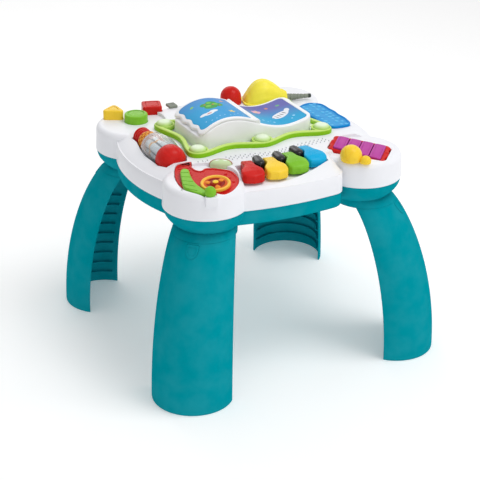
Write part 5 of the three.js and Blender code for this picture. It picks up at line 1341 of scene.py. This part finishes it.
def spinner():
    """A dish with a rounded rim, a step inside it, three bosses and a hub."""
    profile = [(DISC_HOLE, 0), (DISC_R - 0.4, 0), (DISC_R, 0.4), (DISC_R, 2.6)]
    for a in np.linspace(0.2, QUARTER, 7):
        profile.append((DISC_R - 1.4 + 1.4 * math.cos(a), 2.6 + 1.4 * math.sin(a)))
    profile += [(17.6, 4), (17, 3.6), (16.4, 2.5), (15.8, 2.4), (13.5, 2.5), (13.1, 2.9), (12.6, 2.9)]
    profile += [(12.2, 2.2), (8.2, 2.4), (7, 3.6), (6.3, 4), (DISC_HOLE, 4)]
    obj = turned("spinner_dish", profile, 112)
    dome = domed([(0, 1.5)], 3.7, 2.2, 1.7, np.linspace(0, QUARTER, 9)[:-1]) + [(0, 3.9)]
    boolean(obj, [moved(turned("boss", dome, 40), x, y) for x, y in BOSSES], "UNION")
    return moved(obj, *SPINNER, PLATE_TOP + GAP)


def spinner_print(x, y, z):
    """A dark dish with an amber rim, an orange hub and step, and amber bosses."""
    u, v = x - SPINNER[0], y - SPINNER[1]
    r = np.hypot(u, v)
    c = flat(x, 150, 34, 16)
    c = lay(c, (r - 12.8) / 0.4, rgb(214, 92, 28))
    c = lay(c, (r - 15.8) / 0.4, rgb(252, 200, 78))
    c = lay(c, (5.4 - r) / 0.4, rgb(214, 92, 28))
    for px, py in BOSSES:
        c = lay(c, (3.9 - np.hypot(u - px, v - py)) / 0.3, rgb(244, 150, 56))
    return c


def spinner_pin():
    """The rivet that holds the disc: its shaft below and a low dome over the hub."""
    shaft, head = DISC_HOLE - GAP, 4
    profile = [(0, -10.6), (1.5, -10.6), (shaft, -10.2), (shaft, 0), (3.7, 0), (head, 0.3), (head, 0.7)]
    profile = domed(profile, head, 0.7, 0.9, np.linspace(0.15, QUARTER, 9)[:-1]) + [(0, 1.6)]
    return moved(turned("spinner_rivet", profile, 48), *SPINNER, PLATE_TOP + 2 * GAP + 4)


def strum_lever():
    """A curved wing with grooves across it, a ball at its near end and the stub it swings on."""
    z, ball_z = PLATE_TOP + GAP, LOBE_TOP + 11.5
    obj = slab("lever_wing", lever_outline, z, z + 5, 2.0, 0.5, 8)
    ball = moved(sphere("ball", LEVER_BALL_R, 64), *LEVER_BALL, ball_z)
    stub = rod(1.6, LOBE_TOP - 2.4, ball_z, *LEVER_BALL, 32)
    boolean(obj, [ball, stub], "UNION")
    grooves = []
    for k in range(5):
        x, y = on_lobe("front_left", -0.42 - 0.035 * k, 0.36 - 0.2 * k)
        line = turned_points(rounded(9.5, 0.55, 0.5, 3), (150 - 6 * k) * TURN, x, y)
        grooves.append(prism("groove", line, z + 4.1, HIGH))
    return boolean(obj, grooves)


def window():
    """An oval dome with a low straight side."""
    shares = [(0.985, 0), (1, 0.03), (1, 0.2), (1.0, 0.36)]
    shares += [(math.cos(a) ** 0.72, 0.4 + 0.6 * math.sin(a) ** 1.1) for a in np.linspace(0.2, 1.45, 12)]
    z0, z1 = LOBE_TOP + GAP, LOBE_TOP + 10.5
    obj = turned("window_dome", [(0, z0)] + [(r, z0 + s * (z1 - z0)) for r, s in shares] + [(0, z1)], 96)
    obj.data.transform(Matrix.Diagonal((*WINDOW_HALF, 1, 1)))
    return moved(spun(obj, WINDOW_TURN), *WINDOW)


def window_print(x, y, z):
    """A pale lens with a brown far side, two white spots and a leaf."""
    u, v = turned_points(np.column_stack([x - WINDOW[0], y - WINDOW[1]]), -WINDOW_TURN).T
    c = flat(x, 206, 228, 178)
    c = lay(c, (v - 1.2 + 0.02 * u**2) / 1.2, rgb(158, 74, 36))
    c = lay(c, blob(u, v, -5, -1.5, 3.4, 2.0, 10), rgb(240, 248, 236))
    c = lay(c, blob(u, v, 5.5, -1.5, 3.4, 2.0, -10), rgb(240, 248, 236))
    c = lay(c, blob(u, v, 0, 3.2, 4.0, 1.2), rgb(120, 160, 60))
    return c


piece(guitar_lean(guitar_plate()), "root", "red_plastic", red, "guitar_plate", angle=28)
piece(guitar_lean(painted(spinner(), spinner_print)), "spinner", "orange_plastic", print_and_light_mat, "spinner_disc")
piece(guitar_lean(spinner_pin()), "root", "yellow_plastic", yellow, "spinner_pin")
piece(guitar_lean(strum_lever()), "strum", "green_plastic", green, "strum_lever")
piece(painted(window(), window_print), "root", "pale_lens", print_and_light_mat, "guitar_window")


# Xylophone
def frame_shape():
    """The xylophone's outline with two shallow notches in each end."""
    loop = resampled(xylo_outline(-XYLO_HALF, XYLO_HALF, 0, XYLO_ROUND, 12), 0.8)
    end = np.clip((np.abs(loop[:, 0]) - XYLO_HALF) / 5 + 1, 0, 1)
    low = -XYLO_DEEP - XYLO_SPREAD * loop[:, 0]
    along = (loop[:, 1] - low) / (XYLO_DEEP - low)
    notch = 2.2 * end * (0.5 - 0.5 * np.cos(4 * math.pi * along)) ** 2 * (np.abs(along - 0.5) < 0.45)
    return loop - np.column_stack([np.sign(loop[:, 0]) * notch, np.zeros(len(loop))])


def xylophone_frame():
    """A red tray with a well for the bars and a dimple at each end."""
    z, wall = LOBE_TOP + XYLO_RISE, 8
    obj = slab("xylophone_tray", frame_shape(), LOBE_TOP + GAP, z, 2.4, 0.3, 8)
    inner = XYLO_HALF - wall
    well = cutter(xylo_outline(-inner, inner, 4, 3), LOBE_TOP + 4.6, z, 0.7)
    dimple = [(0, z - 0.8), (2.2, z - 0.6), (2.6, z), (2.6, z + 5), (0, z + 5)]
    holes = [moved(turned("dimple", dimple, 40), side * (inner + wall / 2), 0) for side in (-1, 1)]
    return at_xylo(boolean(obj, [well] + holes))


BAR_PITCH, BAR_HALF = 17.8, 8.35


def xylophone_bar(k):
    """A bar with a slightly crowned top, two long lines cut in it and two rows of dots."""
    along, inset, z = (k - 1.5) * BAR_PITCH, 4.6, LOBE_TOP + 13.5
    far, near = XYLO_DEEP - inset, inset - XYLO_DEEP - XYLO_SPREAD * along
    middle, half = (far + near) / 2, (far - near) / 2
    outline = resampled(xylo_outline(along - BAR_HALF, along + BAR_HALF, inset, 3), 0.9)
    top = lambda x, y: z - 0.006 * (x - along) ** 2 - 0.0012 * (y - middle) ** 2
    obj = pillow("bar_%d_key" % (k + 1), outline, top, LOBE_TOP + 7.4, 1.3, 0.4, 10, 6, (along, middle))
    line = rounded(0.45, half - 2, 0.4, 3)
    boolean(obj, [prism("line", line + np.array([along + x, middle]), z - 0.9, HIGH) for x in (-4.6, 5.6)])
    dome = [(0, z - 1.2), (0.8, z - 1.2), (0.8, z - 0.35), (0.48, z + 0.12), (0, z + 0.25)]
    dots = []
    for y in np.linspace(middle - half + inset, middle + half - inset, 7):
        dots += [moved(turned("dot", dome, 14), along + x, y) for x in (-1.2, 2.4)]
    return at_xylo(boolean(obj, dots, "UNION"))


def mallet():
    """Two balls cut flat below, fine grooves round them, and the stem that slides in the slot."""
    head_z, tip_z, floor, low = LOBE_TOP + 7.5, LOBE_TOP + 3, LOBE_TOP + SLIP, 294.3
    big = moved(sphere("mallet_head", 15.5, 96), 0, 0, head_z)
    grooves = []
    for tilt in (-26, 26):
        ring = turned("ring", [(15, -0.4), (16.5, -0.6), (16.5, 0.6), (15, 0.4)], 96)
        grooves.append(moved(spun(ring, QUARTER + tilt * TURN, "Y"), 0, 0, head_z))
    boolean(big, grooves)
    tip = moved(sphere("tip", 8, 64), 21.5, 0, tip_z)
    ring = turned("ring", [(7.4, -0.35), (8.5, -0.5), (8.5, 0.5), (7.4, 0.35)], 64)
    boolean(tip, [moved(spun(ring, QUARTER, "Y"), 24.1, 0, tip_z)])
    boolean(big, [tip], "UNION")
    boolean(big, [block(-60, 60, -40, 40, 260, floor)])
    stem = rod(2.1, low, TOP, 0, MALLET_STEM, 40)
    flange = rod(3.8, low, low + 2.2, 0, MALLET_STEM, 40)
    return at_mallet(boolean(big, [stem, flange], "UNION"))


piece(xylo_lean(xylophone_frame()), "root", "red_plastic", red, "xylophone_frame", angle=28)
for k in range(4):
    bar = "bar_%d" % (k + 1)
    piece(xylo_lean(xylophone_bar(k)), bar, "magenta_plastic", magenta, "xylophone_" + bar)
piece(mallet(), "mallet", "yellow_plastic", yellow, "mallet_slider", angle=24)


# Roller
HEAD_FROM, BARREL_FROM, BEAD_FROM, CAP_FROM, CAP_TO = -60.4, -32.9, 16.6, 38.6, 60.1
HEAD_R, DRUM_R, CAP_R, AXLE_HOLE = 21.0, 14.0, 13.5, 2.1
BEAD_R, BEAD_LONG, BEAD_TAPER = 18.0, 21.7, 3.0


def roller_head():
    """A blunt red head with six faint flutes that fade out along it."""
    long = BARREL_FROM - HEAD_FROM - GAP
    shares = [(0, 0.4), (0.02, 0.46), (0.06, 0.56), (0.12, 0.68), (0.2, 0.79), (0.3, 0.88), (0.42, 0.95),
              (0.55, 0.99), (0.68, 1.0), (0.8, 1.0), (0.93, 0.99), (0.97, 0.975), (1, 0.94)]
    side = [(HEAD_R * r, HEAD_FROM + s * long) for s, r in shares]
    profile = [(AXLE_HOLE, HEAD_FROM)] + side + [(AXLE_HOLE, HEAD_FROM + long)]

    def flute(r, y, t):
        deep = 0.035 * max(0, math.cos(6 * t)) ** 3 * max(0, min(1, (-39 - y) / 8))
        return r * (1 - deep) if r > 3 else r
    return on_roller(turned("roller_nose", profile, 120, flute))


def roller_barrel():
    """A clear shell, widest at its middle."""
    long, end_r, wall = BEAD_FROM - BARREL_FROM - GAP, 20, 2
    side = [(end_r + 3.5 * math.sin(math.pi * s), BARREL_FROM + s * long) for s in np.linspace(0, 1, 17)]
    inner = [(r - wall, y) for r, y in side[::-1]]
    return on_roller(turned("roller_window", inner[-1:] + side + inner[:-1], 112))


def roller_core():
    """The drum inside the barrel, with five hollows along it."""
    end = [(AXLE_HOLE, 0), (DRUM_R - 2, 0), (DRUM_R - 0.2, 1.2), (DRUM_R, 3)]
    last = BEAD_FROM - GAP
    profile = [(r, BARREL_FROM + y) for r, y in end]
    profile += [(DRUM_R, y) for y in np.linspace(BARREL_FROM + 4, last - 4, 26)]
    profile += [(r, last - y) for r, y in end[::-1]]
    vane = lambda r, y, t: r * (1 - 0.16 * (0.5 - 0.5 * math.cos(5 * t)) ** 2) if r > 3 else r
    return on_roller(turned("roller_drum", profile, 120, vane))


# Pale grey drum with an amber band, painted shade in its five hollows and a painted reflection of red on its
# upper side.
def core_print_shade_and_reflection(x, y, z):
    a = np.degrees(np.arctan2(z - ROLLER_Z, x - ROLLER_X))
    c = flat(x, 226, 230, 234)
    # painted shade: darker grey in the hollows between the vanes
    c = lay(c, (np.cos(np.radians(5 * a + 180)) - 0.72) / 0.2, rgb(104, 110, 118))
    # painted reflection: a red band on the upper side of the drum
    c = lay(c, (16 - np.abs(a - 62)) / 3 * (y > -4), rgb(150, 48, 40))
    c = lay(c, (2.2 - np.abs(y - 2)) / 0.4, rgb(240, 170, 60))
    return c


def bead_ring():
    """A tapering ring of four rows of fourteen beads."""
    end = BEAD_FROM + BEAD_LONG
    rows = [(AXLE_HOLE, BEAD_FROM), (BEAD_R - 0.8, BEAD_FROM), (BEAD_R, BEAD_FROM + 0.8)]
    rows += [(BEAD_R - BEAD_TAPER * s, BEAD_FROM + BEAD_LONG * s) for s in np.linspace(0.06, 0.95, 40)]
    rows += [(14.4, end), (AXLE_HOLE, end)]

    def bumpy(r, y, t):
        s = (y - BEAD_FROM) / BEAD_LONG
        if r < 14 or s < 0.05 or s > 0.96:
            return r
        row = math.floor(s * 4)
        bead = abs(math.sin(math.pi * 4 * s)) ** 0.6 * abs(math.cos(7 * t + row * QUARTER)) ** 0.6
        return r - 1.1 + 1.1 * bead
    return on_roller(turned("roller_beads", rows, 168, bumpy))


def bead_colour_and_painted_shade(x, y, z):
    """Amber beads, with painted shade in dark orange between them."""
    s = (y - BEAD_FROM) / BEAD_LONG
    r = np.hypot(x - ROLLER_X, z - ROLLER_Z)
    c = flat(x, 196, 96, 20)
    # amber on the beads' crests; the dark orange left in the gaps is painted shade
    return lay(c, (r - (BEAD_R - BEAD_TAPER * s) + 0.62) / 0.3, rgb(247, 176, 62))


def roller_cap():
    """A cap with three grooves round it and a rounded end."""
    soft, groove = 2.4, [(0, 1.9), (0.3, 1.2), (1.9, 0.9)]
    profile = [(AXLE_HOLE, CAP_FROM), (CAP_R - 0.6, CAP_FROM), (CAP_R, CAP_FROM + 0.7)]
    for k in range(1, 4):
        y = CAP_FROM + 5.37 * k
        profile += [(CAP_R - deep, y - half) for deep, half in groove]
        profile += [(CAP_R - deep, y + half) for deep, half in groove[::-1]]
    profile.append((CAP_R, CAP_TO - soft))
    for a in np.linspace(0.2, 1.57, 7):
        profile.append((CAP_R - 2.6 * (1 - math.cos(a)), CAP_TO - soft + soft * math.sin(a)))
    profile += [(6, CAP_TO - 0.2), (5.6, CAP_TO - 0.8), (AXLE_HOLE, CAP_TO - 0.8)]
    return on_roller(turned("roller_crown", profile, 96))


piece(roller_head(), "roller", "red_plastic", red, "roller_head")
piece(roller_barrel(), "roller", "clear_plastic", clear, "roller_barrel")
piece(painted(roller_core(), core_print_shade_and_reflection), "roller", "blue_plastic", print_and_light_mat, "roller_core")
piece(painted(bead_ring(), bead_colour_and_painted_shade), "roller", "orange_plastic", print_and_light_mat, "roller_bead_ring", angle=0)
piece(roller_cap(), "roller", "red_plastic", red, "roller_cap")


# Buttons and mode switch
def button(name, outline, share, rise):
    """A cap with a domed crown that a groove sets off from its rim."""
    top = LOBE_TOP + rise
    over = lambda x, y: top - 0.0022 * (x**2 + y**2)
    crowned = lambda x, y: top - 0.1 - 0.004 * (x**2 + y**2)
    obj = pillow(name + "_cap", resampled(outline(0.0), 0.8), over, 297.8, 2.2, 0.5, 14, 8, (0, 0))
    boolean(obj, [cutter(outline(-4.6), top - 1.3, top, 0.5)])
    crown = pillow("crown", resampled(outline(-5.4), 0.9), crowned, top - 3, 0.9, 0.1, 12, 5, (0, 0))
    return moved(boolean(obj, [crown], "UNION"), *on_lobe("back_left", *share))


def mode_switch():
    """A ridged knob on a square stem with a flange below."""
    z = TOP + GAP
    obj = pillow("switch_knob", resampled(rounded(7, 8, 2, 6), 0.8), z + 3.5, z, 1.2, 0.3, 8, 6, (0, 0))
    grip = rounded(5.6, 0.5, 0.4, 3)
    boolean(obj, [prism("grip", grip + np.array([0, y]), z + 2.7, HIGH) for y in (-4.5, -1.5, 1.5, 4.5)])
    stem = block(-2, 2, -2, 2, 297, z + 1)
    flange = block(-4, 4, -4, 4, 295.5, 297)
    return moved(boolean(obj, [stem, flange], "UNION"), *SWITCH)


for name, outline, share, rise, mat, slot in BUTTONS:
    piece(button(name, outline, share, rise), name, slot, mat, name, angle=28)
piece(mode_switch(), "switch", "grey_plastic", grey, "mode_switch")


# Bubble panel
BUBBLES = []
for k in range(27):
    bubble_x = PANEL_X + 12.2 * (k % 3 - 1) + 2.6 * math.sin(2.1 * k)
    bubble_y = PANEL_Y - 45 + 11.2 * (k // 3) + 2.4 * math.cos(1.7 * k)
    BUBBLES.append((bubble_x, bubble_y, 2.3 + 1.1 * (0.5 + 0.5 * math.sin(3.3 * k))))


def bubble_panel():
    """A plate with a sunk face and a low dome for every bubble."""
    z = TOP + 3
    obj = slab("panel_plate", panel_outline(0), TOP - 3.2, z, 1.3, 0.3, 7)
    face = cutter(panel_outline(-3.4), z - 0.7, z, 0.3)
    boolean(obj, [face])
    domes = []
    base = z - 0.75
    for x, y, r in BUBBLES:
        rows = domed([(0, z - 2.2), (r, z - 2.2)], r, base, 0.34 * r, np.linspace(0, 1.4, 7))
        domes.append(moved(turned("bubble", rows + [(0, base + 0.34 * r)], 28), x, y))
    return boolean(obj, domes, "UNION")


def panel_print(x, y, z):
    c = flat(x, 16, 138, 212)
    inner = np.zeros(len(x))
    for bx, by, r in BUBBLES:
        inner = np.maximum(inner, np.clip((r + 0.15 - np.hypot(x - bx, y - by)) / 0.4, 0, 1))
    return lay(c, inner, rgb(96, 190, 238))


piece(painted(bubble_panel(), panel_print), "root", "blue_plastic", print_and_light_mat, "bubble_panel", angle=28)


# Horn and bulb
def at_horn(obj):
    return moved(spun(obj, HORN_TURN), *HORN_AT)


def smooth_line(xs, ys, at):
    """A smooth curve through the points (xs, ys), read at the places asked for."""
    slope = np.gradient(ys, xs)
    k = np.clip(np.searchsorted(xs, at) - 1, 0, len(xs) - 2)
    h = xs[k + 1] - xs[k]
    t = (at - xs[k]) / h
    return ((2 * t**3 - 3 * t**2 + 1) * ys[k] + (t**3 - 2 * t**2 + t) * h * slope[k]
            + (-2 * t**3 + 3 * t**2) * ys[k + 1] + (t**3 - t**2) * h * slope[k + 1])


def horn():
    """A half round bell with shallow flutes, a dent near either end and a rim on the deck."""
    fine = np.linspace(0, 1, 61)
    share, half, rise = np.array(HORN_SHARES).T
    wide = smooth_line(share, half, fine) * HORN_HALF
    high = smooth_line(share, rise, fine) * HORN_HIGH
    a = np.linspace(0, math.pi, 121)
    ridge = 0.035 * (0.5 + 0.5 * np.cos(12 * a)) ** 2 * np.sin(a) ** 0.5
    ridge = np.where((a < 0.12) | (a > math.pi - 0.12), 0, ridge)
    rings = []
    for s, w, h in zip(fine, wide, high):
        flute = 1 - ridge * math.sin(math.pi * min(1, 0.1 + s)) ** 0.5
        dent = 1 - 0.05 * math.exp(-((s - 0.1) / 0.025) ** 2) - 0.05 * math.exp(-((s - 0.88) / 0.02) ** 2)
        z = LOBE_TOP + GAP + np.sin(a) * h * flute * dent
        rings.append(np.column_stack([np.full(len(a), s * HORN_LONG), np.cos(a) * w * flute, z]))
    obj = loft("horn_bell", rings)
    steps = [(-2, 0.4), (0.6, 0.4), (1.4, 0.8), (1.6, 1.6), (1.4, 2.4), (0.4, 3), (-2, 3)]
    rim = [raised(grown(horn_outline(0), out), TOP + z) for out, z in steps]
    return at_horn(boolean(obj, [loft("rim", rim)], "UNION"))


def horn_tip():
    """A grooved grey spout that tapers to a knob."""
    rows = [(0, 68.3), (5.6, 68.3), (6, 68.8)]
    for k in range(5):
        x = 73 + 5.6 * k
        r = 6 - 3.4 * (x - 68.3) / 40
        rows += [(r, x - 1.6), (r, x), (r - 0.9, x + 0.35), (r - 0.9, x + 1.5), (r - 0.2, x + 1.9)]
    rows += [(3.2, 102), (3.1, 103), (3.3, 104), (3.2, 107.6), (2.6, 108.3), (0, 108.3)]
    obj = spun(turned("horn_spout", rows, 72), QUARTER, "Y")
    return at_horn(moved(obj, 0, 0, LOBE_TOP + 6.8))


def tip_print(x, y, z):
    along = (x - HORN_AT[0]) * math.cos(HORN_TURN) + (y - HORN_AT[1]) * math.sin(HORN_TURN)
    c = flat(x, 140, 146, 134)
    return lay(c, (along - 103.2) / 0.4, rgb(64, 70, 66))


def bulb():
    """A round bulb on a straight skirt, with a fine groove between them."""
    low, seam, centre = 303.3, 311.0, 318.0
    rows = [(0, low), (BULB_R - 0.5, low), (BULB_R, low + 0.5)]
    groove = ((0, 0), (0.3, 0.3), (0.7, 0.5), (0.7, 1.4), (0.3, 1.6), (0, 1.9))
    rows += [(BULB_R - deep, seam + z) for deep, z in groove]
    rows = domed(rows, BULB_R, centre, BULB_R, np.linspace(0, 1.5, 34)) + [(0, centre + BULB_R)]
    return moved(turned("bulb_ball", rows, 96), *BULB_AT)


piece(horn(), "root", "yellow_plastic", lemon, "horn", angle=40)
piece(painted(horn_tip(), tip_print), "root", "grey_plastic", print_and_light_mat, "horn_tip", angle=28)
piece(bulb(), "bulb", "red_plastic", red, "horn_bulb", angle=28)


# Stage, light and camera
def studio():
    scene = bpy.context.scene
    scene.view_settings.view_transform = "Standard"
    reach = 4000
    corners = [(-reach, -reach, 0), (reach, -reach, 0), (reach, reach, 0), (-reach, reach, 0)]
    floor = make("floor", corners, [(0, 1, 2, 3)])
    mat = bpy.data.materials.new("pale_floor")
    mat.use_nodes = True
    tree = mat.node_tree
    shader = tree.nodes["Principled BSDF"]
    shader.inputs["Base Color"].default_value = (*rgb(250, 250, 250), 1)
    shader.inputs["Emission Color"].default_value = (1, 1, 1, 1)
    shader.inputs["Emission Strength"].default_value = 0.2
    shader.inputs["Roughness"].default_value = 0.9
    dress(floor, mat)
    world = bpy.data.worlds.new("studio")
    scene.world = world
    world.use_nodes = True
    tree = world.node_tree
    back = tree.nodes["Background"]
    back.inputs["Color"].default_value = (1, 1, 1, 1)
    back.inputs["Strength"].default_value = 0.5
    show = node(tree, "ShaderNodeBackground")
    show.inputs["Color"].default_value = (1, 1, 1, 1)
    show.inputs["Strength"].default_value = 1.0
    path = node(tree, "ShaderNodeLightPath")
    either = node(tree, "ShaderNodeMath", operation="MAXIMUM")
    tree.links.new(path.outputs["Is Camera Ray"], either.inputs[0])
    tree.links.new(path.outputs["Is Glossy Ray"], either.inputs[1])
    both = node(tree, "ShaderNodeMath", operation="MAXIMUM")
    tree.links.new(either.outputs[0], both.inputs[0])
    tree.links.new(path.outputs["Is Transmission Ray"], both.inputs[1])
    mix = node(tree, "ShaderNodeMixShader")
    tree.links.new(both.outputs[0], mix.inputs["Fac"])
    tree.links.new(back.outputs["Background"], mix.inputs[1])
    tree.links.new(show.outputs["Background"], mix.inputs[2])
    tree.links.new(mix.outputs["Shader"], tree.nodes["World Output"].inputs["Surface"])

    def lamp(name, at, size, power):
        light = bpy.data.lights.new(name, "AREA")
        light.size = size
        light.energy = power
        obj = bpy.data.objects.new(name, light)
        obj.location = at
        obj.rotation_euler = (Vector((0, 0, 0.25)) - Vector(at)).to_track_quat("-Z", "Y").to_euler()
        scene.collection.objects.link(obj)

    lamp("key", (0.7, -0.7, 2.2), 1.1, 21)
    lamp("fill", (0.0, -1.9, 1.1), 1.6, 4.5)
    lamp("rim", (0.2, 1.8, 1.6), 1.4, 8)


def camera():
    yaw, pitch, roll = 27.64 * TURN, 25.66 * TURN, 0.56 * TURN
    ahead = Vector((math.sin(yaw) * math.cos(pitch), math.cos(yaw) * math.cos(pitch), -math.sin(pitch)))
    right = Vector((math.cos(yaw), -math.sin(yaw), 0))
    up = right.cross(ahead)
    r2 = math.cos(roll) * right + math.sin(roll) * up
    u2 = -math.sin(roll) * right + math.cos(roll) * up
    data = bpy.data.cameras.new("camera")
    data.sensor_width = 36
    data.lens = 1423.4 / 480 * 36
    data.clip_start = 0.05
    obj = bpy.data.objects.new("camera", data)
    turn = Matrix((r2, u2, -ahead)).transposed().to_4x4()
    obj.matrix_world = Matrix.Translation((-0.9035, -1.7102, 1.063)) @ turn
    bpy.context.scene.collection.objects.link(obj)
    bpy.context.scene.camera = obj


studio()
camera()
for name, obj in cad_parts.items():
    if name.startswith("leg_") or name in ("base_tray", "battery_door"):
        dress(obj, teal)
    elif name == "circuit_board":
        dress(obj, board_green)
    elif name in ("speaker", "battery_1", "battery_2", "battery_3"):
        dress(obj, dark)
    elif "screw" in name or name in ("battery_contacts", "roller_axle"):
        dress(obj, steel)
